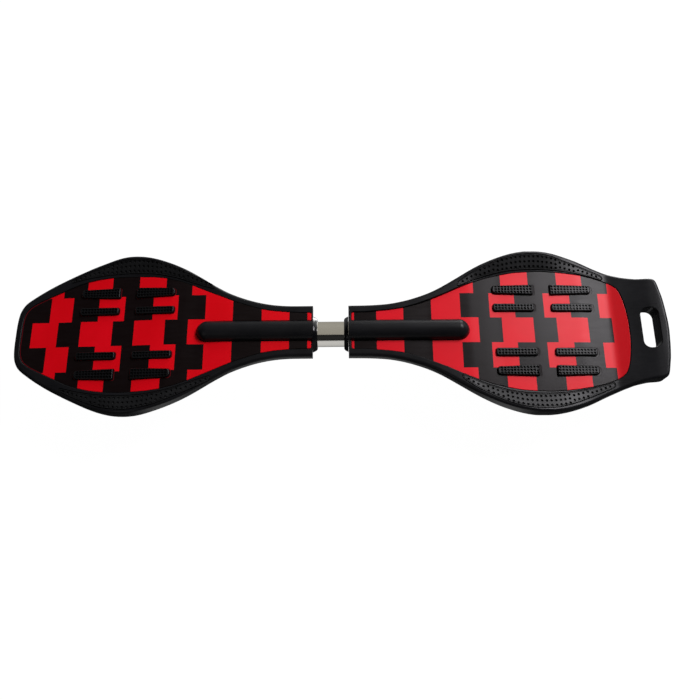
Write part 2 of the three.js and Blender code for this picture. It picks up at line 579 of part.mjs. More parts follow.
// one caster, in a group whose Z is the swivel axis
function caster(side, x) {
  const g = new THREE.Group();
  g.position.set(x, 0, PIVOT_Z);
  g.rotation.y = -RAKE;
  board.add(g);

  const plate = cut(solid(slab(roundedRect(PLATE_HALF, PLATE_HALF, 8), () => -GAP - PLATE_T, () => -GAP)), [
    solid(bar('z', KINGPIN_R + GAP, -20, 20, 0, 0, 16)),
    ...screwSpots.map(([a, b]) => solid(bar('z', 2.6, -20, 20, a, b, 10))),
  ]);
  add(g, `${side}_mount_plate`, geometryOf(plate), M.zinc());
  screwSpots.forEach(([a, b], i) => {
    const head = solid(bar('z', 3.1, -6.1, -GAP * 2 - PLATE_T, a, b, 12, 4.4));
    add(g, `${side}_plate_screw_${i + 1}`, geometryOf(head.add(solid(bar('z', 2.2, -5, 10.8, a, b, 10)))), M.steel());
  });
  const kp = solid(bar('z', 7.5, 0, 5.2, 0, 0, 6)).add(solid(bar('z', KINGPIN_R, -19, 1, 0, 0, 16)));
  add(g, `${side}_kingpin`, geometryOf(kp), M.steel());
  const kn = solid(bar('z', 7.5, CROWN_Z - CROWN_T - GAP - 5.6, CROWN_Z - CROWN_T - GAP, 0, 0, 6))
    .subtract(solid(bar('z', KINGPIN_R + GAP, -30, 0, 0, 0, 16)));
  add(g, `${side}_kingpin_nut`, geometryOf(kn), M.steel());
  add(g, `${side}_thrust_bearing`, ofSolid(turned('z', [[4.7, -8.6], [15, -8.6], [15, -3.6], [4.7, -3.6]], 20)), M.steel());

  // fork: crown disc, two legs, bosses that reach the bearings
  const legShape = new THREE.Shape();
  legShape.moveTo(-14, CROWN_Z);
  legShape.lineTo(16, CROWN_Z);
  legShape.lineTo(29, -34);
  legShape.absarc(TRAIL, -DROP, 10.5, 0.35, -Math.PI * 0.82, true);
  legShape.lineTo(-12.5, -22);
  legShape.closePath();
  const legs = [LEG_IN, -LEG_IN - LEG_T].map((y) => {
    const e = new THREE.ExtrudeGeometry(legShape, { depth: LEG_T, bevelEnabled: false, curveSegments: 7 });
    e.rotateX(Math.PI / 2);
    e.translate(0, y + LEG_T, 0);
    return solid(e);
  });
  const crown = solid(slab([...roundedRect(17, LEG_IN + LEG_T, 5)].map(([a, b]) => [a - 0.5, b]), () => CROWN_Z - CROWN_T, () => CROWN_Z));
  const bosses = [11.8, -LEG_IN - 1].map((y) => solid(bar('y', 6.6, y, y + LEG_IN - 11.8 + 1, TRAIL, -DROP, 14)));
  const fork = cut(join([crown, ...legs, ...bosses]), [
    solid(bar('z', KINGPIN_R + GAP, -30, 0, 0, 0, 14)),
    solid(bar('y', AXLE_R + GAP, -40, 40, TRAIL, -DROP, 14)),
  ]);
  add(g, `${side}_fork`, geometryOf(fork), M.black());

  const axle = new THREE.Group();
  axle.position.set(TRAIL, 0, -DROP);
  g.add(axle);
  const out = LEG_IN + LEG_T + GAP;
  add(axle, `${side}_axle_bolt`, geometryOf(solid(bar('y', 6.8, out, out + 4, 0, 0, 16, 5.6)).add(solid(bar('y', AXLE_R, -out - 7.2, out + 1, 0, 0, 14)))), M.steel());
  add(axle, `${side}_axle_nut`, geometryOf(solid(bar('y', 7.4, -out - 6.4, -out, 0, 0, 6)).subtract(solid(bar('y', AXLE_R + GAP, -40, 0, 0, 0, 14)))), M.steel());
  add(axle, `${side}_bearing_spacer`, ofSolid(turned('y', [[AXLE_R + GAP, -4.2], [6.4, -4.2], [6.4, 4.2], [AXLE_R + GAP, 4.2]], 14)), M.steel());
  const race = (a) => ofSolid(turned('y', [[AXLE_R + GAP, a], [BEARING_R, a], [BEARING_R, a + BEARING_W], [AXLE_R + GAP, a + BEARING_W]], 18));
  add(axle, `${side}_wheel_bearing_right`, race(4.5), M.chrome());
  add(axle, `${side}_wheel_bearing_left`, race(-4.5 - BEARING_W), M.chrome());
  const core = [[9, -4.2], [BEARING_R + GAP, -4.2], [BEARING_R + GAP, -11.8], [14.6, -11.8], [17, -8.4], [23.4, -10],
    [23.4, 10], [17, 8.4], [14.6, 11.8], [BEARING_R + GAP, 11.8], [BEARING_R + GAP, 4.2], [9, 4.2]];
  add(axle, `${side}_wheel_hub`, ofSolid(turned('y', core, 20)), M.hub());
  const h = WHEEL_W / 2;
  const tread = [[23.8, -11], [31, -h], [35, -10.8], [37.2, -7.4], [WHEEL_R, -3], [WHEEL_R, 3], [37.2, 7.4],
    [35, 10.8], [31, h], [23.8, 11]];
  add(axle, `${side}_wheel_tyre`, ofSolid(turned('y', tread, 36)), M.tyre());
}
caster('nose', NOSE_PIVOT_X);
caster('tail', TAIL_PIVOT_X);

export default board;
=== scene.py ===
import math

import bmesh
import bpy
import numpy as np
from mathutils import Matrix, Vector


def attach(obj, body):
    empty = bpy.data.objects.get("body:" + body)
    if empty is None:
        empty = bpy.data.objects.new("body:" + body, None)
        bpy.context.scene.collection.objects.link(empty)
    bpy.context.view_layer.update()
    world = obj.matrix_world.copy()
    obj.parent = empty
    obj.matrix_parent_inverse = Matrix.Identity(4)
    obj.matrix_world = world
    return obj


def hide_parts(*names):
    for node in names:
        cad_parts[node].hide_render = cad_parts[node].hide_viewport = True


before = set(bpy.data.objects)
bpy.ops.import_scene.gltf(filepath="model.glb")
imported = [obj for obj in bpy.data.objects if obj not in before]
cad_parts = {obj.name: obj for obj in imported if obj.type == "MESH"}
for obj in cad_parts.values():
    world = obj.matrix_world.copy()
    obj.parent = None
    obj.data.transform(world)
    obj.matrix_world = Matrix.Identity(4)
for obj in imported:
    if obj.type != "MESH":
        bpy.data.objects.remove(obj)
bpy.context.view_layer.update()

# Lengths are in millimetres until a piece is finished, along the drawing datum;
# the frame's origin lies X_SHIFT away from it.
X_SHIFT = 1.4
Z_PANEL = 100.0
RIM_UP = 3.0
PANEL_T = 1.4
PLATE_DOWN = 5.4
WALL_T = 3.2
Z_TUBE = 86.5
TUBE_R = 17.0
BORE_R = 17.3
HOUSING_R = 24.0
HUMP_R = 14.0
NOSE_NECK_X, TAIL_NECK_X = -39.0, 8.3
WHEEL_R = 38.0
RAKE = math.pi / 6
TRAIL, DROP = 22.0, 55.0
PIVOT_Z = WHEEL_R + DROP * math.cos(RAKE) - TRAIL * math.sin(RAKE)
PIVOT_X = {"nose": -311.5, "tail": 223.5}
ROUND_D, ROUND_H = 4.5, 4.6      # outer rounding of the rim, across and down
HANDLE_Z = 84.0

NOSE_W = [[-436.18, 12.02], [-435.68, 22.02], [-434.89, 29.02], [-433.89, 33.52], [-431.9, 38.82],
  [-429.9, 42.42], [-427.91, 45.42], [-423.93, 49.22], [-419.94, 52.32], [-409.97, 59.55],
  [-400, 66.09], [-390, 72.04], [-380, 77.38], [-370, 82.43], [-360, 87.33], [-350, 91.98],
  [-340, 96.6], [-330, 100.79], [-320, 104.5], [-310, 107.41], [-300, 109.54], [-290, 110.57],
  [-280, 110.78], [-270, 110.01], [-260, 108.14], [-250, 105.37], [-240, 102.1], [-230, 98.41],
  [-220, 94.19], [-210, 89.43], [-200, 83.98], [-190, 78.03], [-180, 71.79], [-170, 65.7],
  [-160, 60.08], [-150, 54.77], [-140, 50.57], [-130, 46.88], [-120, 43.68], [-110, 41.09],
  [-100, 39], [-90, 37.51], [-80, 36.52], [-70, 36.02], [-60, 35.93], [-39, 35.95]]
TAIL_W = [[8.3, 35.9], [30, 36.08], [40, 36.38], [50, 36.97], [60, 37.76], [70, 39.36],
  [80, 41.45], [90, 44.04], [100, 47.14], [110, 50.63], [120, 54.92], [130, 60.02], [140, 65.81],
  [150, 71.9], [160, 78.02], [170, 84.03], [180, 89.54], [190, 94.56], [200, 99.12], [210, 103.13],
  [220, 106.63], [230, 109.6], [240, 111.86], [250, 113.36], [260, 113.4], [270, 113.34],
  [280, 112.3], [290, 110.53], [300, 108.06], [310, 105.09], [320, 101.62], [330, 97.27],
  [340, 92.4], [350, 87.92], [360, 83.57], [370, 79.53], [380, 76.17], [390, 73.57], [400, 71.49],
  [409.28, 70.95], [415.2, 70.5], [418.4, 69.5], [420.5, 68.3], [422.2, 66], [423.8, 60],
  [425.7, 50], [427.2, 43], [428.3, 34], [429.2, 25], [430.1, 12], [430.5, 6]]
NOSE_P = [[-427.3, 12], [-426.6, 24], [-425, 30.5], [-423, 34.6], [-420, 38.6], [-415, 42.6],
  [-410, 45.8], [-399, 51.4], [-380, 60], [-360, 69.27], [-347, 73.63], [-330, 77.9], [-311, 80.4],
  [-290, 81.15], [-275, 80.76], [-255, 79.8], [-238, 77.59], [-220, 73.18], [-202, 66.77],
  [-185, 59.5], [-165, 51.11], [-145, 42.7], [-125, 35.9], [-107, 30.48], [-90, 27.66],
  [-71, 25.94], [-55, 25.02], [-41, 24.6]]
TAIL_P = [[10.8, 24.6], [30, 25.6], [45, 26.8], [62, 28.4], [81, 31.2], [100, 36.51], [118, 43.2],
  [137, 51], [156, 59.8], [175, 67.59], [194, 74.13], [213, 78.8], [232, 82.3], [251, 83.8],
  [270, 84.5], [290, 83.3], [308, 81.3], [326, 78.43], [340, 75.08], [352, 71.2], [361, 67.36],
  [367, 63.5], [371.6, 58.94], [375, 50.96], [377.6, 39.98], [379.6, 26.99], [381, 12]]
PROFILE = [[-440, -8.9], [-420, -8.3], [-400, -7.8], [-380, -6.7], [-360, -5.4], [-340, -4.3],
  [-320, -3.6], [-300, -2.9], [-280, -1.8], [-260, -0.2], [-247, 0.8], [-230, 1.5], [-210, 1.5],
  [-195, 1.1], [-180, 1.3], [-165, 2], [-150, 2.6], [-39, 2.6], [8, 1.3], [80, 1.3], [115, 0],
  [170, 0], [190, -0.9], [210, -1.9], [230, -2.4], [245, -2.8], [260, -3.2], [280, -3.9],
  [300, -4.5], [320, -4.9], [335, -6.2], [348, -7.4], [357, -7.9], [360, -7.8], [366, -6.7],
  [374, -5], [382, -3.2], [390, -1.2], [400, 1.6], [410, 4.5], [420, 6.5], [430, 7.9], [440, 8.7]]
DEPTH = [[-436.3, 14], [-420, 15], [-400, 16], [-350, 17.5], [-300, 18], [-220, 18], [-150, 17.6],
  [-90, 16.1], [-39, 15.6], [8.3, 14.3], [60, 14.8], [130, 15], [200, 18], [280, 18], [340, 16],
  [360, 16], [376, 18]]
GRIP = {
  "nose": {"outer": [[-369, 77.4], [-341.4, 90.4], [-310.6, 101.9], [-278.9, 105.8], [-247, 100.8],
      [-214.6, 87.8], [-182.6, 72.3], [-170, 65]],
    "inner": [[-369, 73.8], [-348.7, 79.6], [-319.5, 84.6], [-287.8, 86.6], [-256.1, 85.2],
      [-224.4, 78.8], [-192.7, 67.4], [-170, 60.6]], "ends": (-367.5, -171.9)},
  "tail": {"outer": [[155, 66.8], [166, 75.3], [178, 83], [190, 89.3], [205, 96.7], [220, 102.2], [235, 106.2],
      [250, 107.8], [265, 108], [280, 106.5], [295, 102.2], [310, 97], [325, 91.2], [340, 84.9], [354, 78.6]],
    "inner": [[155, 61.2], [166, 66.6], [178, 71.7], [190, 75.9], [205, 80.9], [220, 84.7], [235, 86.7], [250, 87.6],
      [265, 87.8], [280, 87.4], [295, 86.1], [310, 83.8], [325, 80.8], [340, 77], [354, 72.6]], "ends": (155.5, 354.5)}}
PADS = {
  "nose_pad_front": {"x0": -350.5, "x1": -298.5, "square": -298.5, "round": -350.5, "inw": 4.9},
  "nose_pad_rear": {"x0": -276.0, "x1": -224.0, "square": -276.0, "round": -224.0, "inw": 4.9},
  "tail_pad_front": {"x0": 201.5, "x1": 256.5, "square": 256.5, "round": 201.5, "inw": 5.3},
  "tail_pad_rear": {"x0": 280.0, "x1": 335.5, "square": 280.0, "round": 335.5, "inw": 5.3}}
SLOT = (397.0, 418.4, 28.0, 9.8)


# --------------------------------------------------------------------- curves
def table_fn(rows, sigma):
    """The table as a smooth function of x."""
    rows = np.array(rows, float)
    grid = np.arange(-460, 460.01, 0.5)
    v = np.interp(grid, rows[:, 0], rows[:, 1])
    if sigma:
        k = np.exp(-0.5 * (np.arange(-int(8 * sigma), int(8 * sigma) + 1) * 0.5 / sigma) ** 2)
        k /= k.sum()
        half = len(k) // 2
        v = np.convolve(np.pad(v, half, mode="edge"), k, mode="valid")
    return lambda x: np.interp(x, grid, v)


drop = table_fn(PROFILE, 2.5)
depth = table_fn(DEPTH, 6.0)
PANEL_HALF = {"nose": table_fn(NOSE_P, 2.0), "tail": table_fn(TAIL_P, 2.0)}


def top(x):
    return Z_PANEL + drop(x)


def bottom(x):
    x = np.asarray(x, float)
    b = top(x) + RIM_UP - depth(np.minimum(x, 376.0))
    t = np.clip((x - 376.0) / 10.0, 0, 1)
    t = t * t * (3 - 2 * t)
    return b * (1 - t) + HANDLE_Z * t


def rise(side, x, y):
    """How far the dished rim stands off its level height: about flush with the
    panel at its inner edge and higher at its outer one, where the grips are."""
    x, y = np.asarray(x, float), np.abs(np.asarray(y, float))

    def fade(a, b):
        t = np.clip((x - a) / (b - a), 0, 1)
        return t * t * (3 - 2 * t)

    if side == "nose":
        flush = 0.75 + 0.25 * fade(-330, -285)
        lift = fade(-330, -285) * (1 - fade(-190, -150))
    else:
        lift = fade(150, 190) * (1 - fade(262, 335))
        flush = 0.5 * (1 - fade(80, 115)) + fade(150, 190)
    steep, most = (0.24, 5.8) if side == "nose" else (0.30, 7.5)
    return -2.6 * flush + lift * np.clip(steep * (y - PANEL_HALF[side](x) - 1.6), 0.0, most)


def dished(side, ring):
    ring[:, 2] += rise(side, ring[:, 0], ring[:, 1])
    return ring


def half_curve(points, step, sigma=2.5, start="mirror", end="mirror"):
    """Evenly spaced smooth points along one half of a plan outline. An end is
    "mirror" where the outline crosses y = 0, or "line" where it is cut off."""
    pts = np.array(points, float)
    if start == "mirror" and abs(pts[0, 1]) > 1e-6:
        pts = np.vstack([[pts[0, 0], 0.0], pts])
    if end == "mirror" and abs(pts[-1, 1]) > 1e-6:
        pts = np.vstack([pts, [pts[-1, 0], 0.0]])
    ds = 0.4
    s = np.concatenate([[0], np.cumsum(np.hypot(*np.diff(pts, axis=0).T))])
    m = int(round(s[-1] / ds)) + 1
    q = np.stack([np.interp(np.linspace(0, s[-1], m), s, pts[:, k]) for k in (0, 1)], 1)
    K = min(int(4 * sigma / ds), m - 1)
    flip = np.array([1, -1.0])
    lead = q[1:K + 1][::-1] * flip if start == "mirror" else 2 * q[0] - q[1:K + 1][::-1]
    tail = q[-K - 1:-1][::-1] * flip if end == "mirror" else 2 * q[-1] - q[-K - 1:-1][::-1]
    ext = np.vstack([lead, q, tail])
    k = np.exp(-0.5 * (np.arange(-K, K + 1) * ds / sigma) ** 2)
    k /= k.sum()
    q = np.stack([np.convolve(ext[:, i], k, mode="valid") for i in (0, 1)], 1)
    s = np.concatenate([[0], np.cumsum(np.hypot(*np.diff(q, axis=0).T))])
    n = max(8, int(round(s[-1] / step)))
    a = 0.5 if start == "mirror" else 0.0
    b = 0.5 if end == "mirror" else 0.0
    t = (a + np.arange(n)) / (n - 1 + a + b) * s[-1]
    return np.stack([np.interp(t, s, q[:, i]) for i in (0, 1)], 1)


class Loop:
    """A closed plan outline that mirrors across y = 0, with its normals."""

    def __init__(self, half, flat_start=False):
        self.p = np.vstack([half, half[::-1] * [1, -1]])
        self.n = len(self.p)
        t = np.roll(self.p, -1, 0) - np.roll(self.p, 1, 0)
        nrm = np.stack([t[:, 1], -t[:, 0]], 1)
        nrm /= np.linalg.norm(nrm, axis=1)[:, None]
        area = np.sum(self.p[:, 0] * np.roll(self.p[:, 1], -1) - np.roll(self.p[:, 0], -1) * self.p[:, 1])
        if area < 0:
            nrm = -nrm
        if flat_start:
            nrm[0], nrm[-1] = (0, 1), (0, -1)
        self.nrm = nrm

    def ring(self, inset, z):
        d = inset(self.p[:, 0]) if callable(inset) else inset
        q = self.p - self.nrm * np.reshape(d, (-1, 1)) if np.ndim(d) else self.p - self.nrm * d
        zz = z(q[:, 0]) if callable(z) else np.full(len(q), float(z))
        return np.column_stack([q, zz])


class Free(Loop):
    """A closed plan outline of any shape, as a list of points."""

    def __init__(self, pts):
        self.p = np.array(pts, float)
        self.n = len(self.p)
        a = self.p - np.roll(self.p, 1, 0)
        b = np.roll(self.p, -1, 0) - self.p
        a /= np.maximum(np.linalg.norm(a, axis=1)[:, None], 1e-9)
        b /= np.maximum(np.linalg.norm(b, axis=1)[:, None], 1e-9)
        na, nb = np.stack([a[:, 1], -a[:, 0]], 1), np.stack([b[:, 1], -b[:, 0]], 1)
        m = na + nb
        m /= np.maximum(np.linalg.norm(m, axis=1)[:, None], 1e-9)
        m /= np.maximum(np.sum(m * na, 1), 0.5)[:, None]
        area = np.sum(self.p[:, 0] * np.roll(self.p[:, 1], -1) - np.roll(self.p[:, 0], -1) * self.p[:, 1])
        self.nrm = m if area > 0 else -m


# --------------------------------------------------------------------- solids
class Solid:
    def __init__(self, verts, faces, mats=None):
        self.v = np.asarray(verts, float)
        self.f = list(faces)
        self.m = mats

    def at(self, matrix):
        m = np.array(matrix)
        return Solid(self.v @ m[:3, :3].T + m[:3, 3], self.f, self.m)

    def moved(self, x, y, z):
        return Solid(self.v + [x, y, z], self.f, self.m)


def merged(solids):
    verts, faces, base = [], [], 0
    for s in solids:
        verts.append(s.v)
        faces += [tuple(i + base for i in f) for f in s.f]
        base += len(s.v)
    mats = [m for s in solids for m in s.m] if all(s.m is not None for s in solids) else None
    return Solid(np.vstack(verts), faces, mats)


def stack(rings, caps="ladder"):
    """Closed solid from rings of the same number of points, lowest first."""
    n = len(rings[0])
    v = np.vstack(rings)
    f = []
    for r in range(len(rings) - 1):
        a, b = r * n, (r + 1) * n
        for i in range(n):
            j = (i + 1) % n
            f.append((a + i, a + j, b + j, b + i))
    for a, up in ((0, False), ((len(rings) - 1) * n, True)):
        if caps == "ladder":
            for i in range(n // 2 - 1):
                q = (a + i, a + i + 1, a + n - 2 - i, a + n - 1 - i)
                f.append(q if up else q[::-1])
        else:
            q = tuple(range(a, a + n))
            f.append(q if up else q[::-1])
    return Solid(v, f)


def prism(outline, levels, caps="ngon"):
    """levels: (inset, z) from low to high."""
    loop = outline if isinstance(outline, Loop) else Free(outline)
    return stack([loop.ring(d, z) for d, z in levels], caps)


def revolve(profile, n=64, axis="z", c=(0, 0, 0), close=None):
    """Turned solid: profile [(r, along)], closed on itself, or ending on the axis
    where its first and last radius are 0."""
    pts = np.array(profile, float)
    poles = pts[0, 0] < 1e-9 and pts[-1, 0] < 1e-9
    body = pts[1:-1] if poles else pts
    m = len(body)
    a = np.arange(n) * 2 * math.pi / n
    v = np.stack([np.outer(body[:, 0], np.cos(a)), np.outer(body[:, 0], np.sin(a)),
                  np.outer(body[:, 1], np.ones(n))], -1).reshape(-1, 3)
    f = []
    for r in range(m - 1 if poles else m):
        p, q = r * n, ((r + 1) % m) * n
        for i in range(n):
            j = (i + 1) % n
            f.append((p + i, p + j, q + j, q + i))
    if poles:
        v = np.vstack([v, [0, 0, pts[0, 1]], [0, 0, pts[-1, 1]]])
        lo, hi = m * n, m * n + 1
        for i in range(n):
            j = (i + 1) % n
            f.append((lo, j, i))
            f.append((hi, (m - 1) * n + i, (m - 1) * n + j))
    if axis == "x":
        v = v[:, [2, 0, 1]]
    elif axis == "y":
        v = v[:, [1, 2, 0]]
    return Solid(v + np.array(c), f)


def block(x0, x1, y0, y1, z0, z1, r=0.0):
    pts = [[x0, y0], [x1, y0], [x1, y1], [x0, y1]]
    if not r:
        return prism(pts, [(0, z0), (0, z1)])
    return prism(pts, [(r, z0), (0, z0 + r), (0, z1 - r), (r, z1)])


def rounded(x0, x1, y0, y1, r, seg=5):
    pts = []
    for cx, cy, a0 in ((x1 - r, y1 - r, 0), (x0 + r, y1 - r, 90), (x0 + r, y0 + r, 180), (x1 - r, y0 + r, 270)):
        for k in range(seg + 1):
            t = math.radians(a0 + 90 * k / seg)
            pts.append([cx + r * math.cos(t), cy + r * math.sin(t)])
    return pts


def polygon(n, r, phase=0.0, c=(0, 0)):
    return [[c[0] + r * math.cos(phase + 2 * math.pi * i / n), c[1] + r * math.sin(phase + 2 * math.pi * i / n)]
            for i in range(n)]


def to_object(s, name="tool"):
    me = bpy.data.meshes.new(name)
    me.from_pydata(s.v.tolist(), [], s.f)
    bm = bmesh.new()
    bm.from_mesh(me)
    bmesh.ops.recalc_face_normals(bm, faces=bm.faces)
    if bm.calc_volume(signed=True) < 0:
        bmesh.ops.reverse_faces(bm, faces=bm.faces)
    bm.to_mesh(me)
    bm.free()
    if s.m is not None:
        me.polygons.foreach_set("material_index", np.array(s.m, np.int32))
        while len(me.materials) <= max(s.m):
            me.materials.append(None)
    ob = bpy.data.objects.new(name, me)
    bpy.context.scene.collection.objects.link(ob)
    return ob


def painted(solid, index):
    """The same solid with all of its faces in one material slot."""
    return Solid(solid.v, solid.f, [index] * len(solid.f))


def combine(base, ops):
    """Joins and cuts closed solids: ops is a list of (operation, solid)."""
    ob = to_object(base)
    tools = []
    for kind, s in ops:
        tool = to_object(s)
        tools.append(tool)
        md = ob.modifiers.new("b", "BOOLEAN")
        md.operation = {"cut": "DIFFERENCE", "add": "UNION", "meet": "INTERSECT"}[kind]
        md.solver = "MANIFOLD"
        md.object = tool
    deps = bpy.context.evaluated_depsgraph_get()
    me = bpy.data.meshes.new_from_object(ob.evaluated_get(deps))
    for o in [ob] + tools:
        old = o.data
        bpy.data.objects.remove(o)
        bpy.data.meshes.remove(old)
    v = np.zeros(len(me.vertices) * 3, np.float32)
    me.vertices.foreach_get("co", v)
    out = Solid(v.reshape(-1, 3), [tuple(p.vertices) for p in me.polygons], [p.material_index for p in me.polygons])
    bpy.data.meshes.remove(me)
    return out


def piece(name, solid, body, mats, stands_for, angle=32, matrix=None, weld=0.0):
    """A finished piece: solid in millimetres from the datum, or in its own frame
    with a matrix that places it."""
    s = solid if matrix is None else solid.at(matrix)
    me = bpy.data.meshes.new(name)
    v = (s.v + [X_SHIFT, 0, 0]) * 0.001
    me.from_pydata(v.tolist(), [], s.f)
    for m in mats:
        me.materials.append(m)
    if s.m is not None and len(mats) > 1:
        me.polygons.foreach_set("material_index", np.minimum(np.array(s.m, np.int32), len(mats) - 1))
    bm = bmesh.new()
    bm.from_mesh(me)
    if weld:
        bmesh.ops.remove_doubles(bm, verts=bm.verts, dist=weld * 0.001)
    bmesh.ops.recalc_face_normals(bm, faces=bm.faces)
    if bm.calc_volume(signed=True) < 0:
        bmesh.ops.reverse_faces(bm, faces=bm.faces)
    bm.to_mesh(me)
    bm.free()
    me.polygons.foreach_set("use_smooth", np.ones(len(me.polygons), bool))
    me.set_sharp_from_angle(angle=math.radians(angle))
    me.update()
    ob = bpy.data.objects.new(name, me)
    bpy.context.scene.collection.objects.link(ob)
    wn = ob.modifiers.new("normals", "WEIGHTED_NORMAL")
    wn.keep_sharp = True
    wn.weight = 50
    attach(ob, body)
    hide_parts(*([stands_for] if isinstance(stands_for, str) else stands_for))
    return ob


# ------------------------------------------------------------------ materials
class Nodes:
    def __init__(self, name):
        self.mat = bpy.data.materials.new(name)
        self.mat.use_nodes = True
        self.t = self.mat.node_tree
        self.bsdf = self.t.nodes["Principled BSDF"]
        self.co = None

    def new(self, kind, **props):
        n = self.t.nodes.new(kind)
        for k, v in props.items():
            setattr(n, k, v)
        return n

    def put(self, socket, value):
        if isinstance(value, bpy.types.NodeSocket):
            self.t.links.new(value, socket)
        else:
            socket.default_value = value

    def coords(self):
        if self.co is None:
            self.co = self.new("ShaderNodeTexCoord").outputs["Object"]
        return self.co

    def math(self, op, a, b=None, c=None, clamp=False):
        n = self.new("ShaderNodeMath", operation=op, use_clamp=clamp)
        for s, v in zip(n.inputs, (a, b, c)):
            if v is not None:
                self.put(s, v)
        return n.outputs[0]

    def xyz(self):
        n = self.new("ShaderNodeSeparateXYZ")
        self.put(n.inputs[0], self.coords())
        return n.outputs

    def noise(self, scale, detail=2.0, rough=0.5, stretch=None):
        n = self.new("ShaderNodeTexNoise")
        co = self.coords()
        if stretch:
            mp = self.new("ShaderNodeMapping")
            self.put(mp.inputs["Vector"], co)
            mp.inputs["Scale"].default_value = stretch
            co = mp.outputs[0]
        self.put(n.inputs["Vector"], co)
        n.inputs["Scale"].default_value = scale
        n.inputs["Detail"].default_value = detail
        n.inputs["Roughness"].default_value = rough
        return n.outputs["Fac"]

    def voronoi(self, scale, feature="F1"):
        n = self.new("ShaderNodeTexVoronoi", feature=feature)
        self.put(n.inputs["Vector"], self.coords())
        n.inputs["Scale"].default_value = scale
        return n.outputs["Distance"]

    def span(self, value, a, b, lo, hi):
        n = self.new("ShaderNodeMapRange")
        self.put(n.inputs["Value"], value)
        for k, v in zip(("From Min", "From Max", "To Min", "To Max"), (a, b, lo, hi)):
            n.inputs[k].default_value = v
        return n.outputs["Result"]

    def mix(self, fac, a, b):
        n = self.new("ShaderNodeMix", data_type="RGBA")
        self.put(n.inputs[0], fac)
        self.put(n.inputs[6], a)
        self.put(n.inputs[7], b)
        return n.outputs[2]

    def bump(self, layers):
        """layers: (height socket, distance in millimetres, strength)"""
        last = None
        for h, dist, strength in layers:
            n = self.new("ShaderNodeBump")
            n.inputs["Distance"].default_value = dist * 0.001
            n.inputs["Strength"].default_value = strength
            self.put(n.inputs["Height"], h)
            if last is not None:
                self.put(n.inputs["Normal"], last)
            last = n.outputs["Normal"]
        self.put(self.bsdf.inputs["Normal"], last)

    def set(self, **kw):
        names = {"color": "Base Color", "rough": "Roughness", "metal": "Metallic", "spec": "Specular IOR Level",
                 "coat": "Coat Weight", "coat_rough": "Coat Roughness", "ior": "IOR"}
        for k, v in kw.items():
            self.put(self.bsdf.inputs[names[k]], v)
        return self.mat


def rgb(r, g, b):
    return (r, g, b, 1.0)


def plastic(name, color, rough, spec=0.5, grain=1500, depth_mm=0.05, spread=0.06, tint=0.25):
    """Moulded plastic: fine spark-eroded grain, a slow change of gloss, faint rub marks."""
    n = Nodes(name)
    fine = n.noise(grain, 3.0, 0.6)
    slow = n.noise(22, 3.0, 0.55)
    rub = n.noise(60, 4.0, 0.65, stretch=(1.0, 7.0, 3.0))
    var = n.math("ADD", n.math("MULTIPLY", slow, 0.65), n.math("MULTIPLY", rub, 0.35))
    dark = rgb(*(c * (1 - tint) for c in color))
    light = rgb(*(min(1.0, c * (1 + tint)) for c in color))
    n.bump([(rub, 0.03, 0.12), (fine, depth_mm, 0.55)])
    return n.set(color=n.mix(n.span(var, 0.3, 0.7, 0, 1), dark, light),
                 rough=n.span(var, 0.25, 0.75, rough - spread, rough + spread), spec=spec)


def metal(name, color, rough, grain=700, spread=0.06, brushed=None, depth_mm=0.01):
    n = Nodes(name)
    fine = n.noise(grain, 3.0, 0.6, stretch=brushed)
    slow = n.noise(45, 3.0, 0.6)
    var = n.math("ADD", n.math("MULTIPLY", fine, 0.5), n.math("MULTIPLY", slow, 0.5))
    n.bump([(fine, depth_mm, 0.4)])
    return n.set(color=n.mix(n.span(slow, 0.3, 0.7, 0, 1), rgb(*(c * 0.92 for c in color)), rgb(*color)),
                 rough=n.span(var, 0.3, 0.7, max(0.03, rough - spread), rough + spread), metal=1.0)


# Print: staggered blocks in rows that run along the deck. Each list holds the
# red stretches of a row, x from and to; the rest of the row is black.
PRINT = {
  "nose": {
    "mid": [[-412, -376.5], [-347, -306], [-276.5, -235.6], [-205.9, -146], [-107.4, -70.5], [-47.3, -30]],
    "next": [[-390, -360], [-325, -290.5], [-254, -220], [-183.3, -146], [-107.4, -70.5], [-47.3, -30]],
    "edge": [[-405, -374.5], [-343.5, -309.8], [-273.5, -238.4], [-203, -146], [-107.4, -70.5], [-47.3, -30]]},
  "tail": {
    "mid": [[0, 15.0], [44.5, 80.7], [117.8, 180.9], [211.7, 253.4], [284.3, 326.2], [357.8, 440]],
    "next": [[0, 15.0], [44.5, 80.7], [117.8, 157.3], [195.8, 229.9], [268.6, 303.6], [341.4, 440]],
    "edge": [[0, 15.0], [44.5, 80.7], [117.8, 175.6], [213, 250.2], [288, 322.5], [356, 440]]}}
ROW_1, ROW_2 = 17.5, 52.5


def drooped(x):
    """Where a line drawn on a level deck falls on the sloping one."""
    y = x
    for _ in range(3):
        y = 7.86 + (x - 7.86) * (930.8 - float(drop(y))) / 930.8
    return y


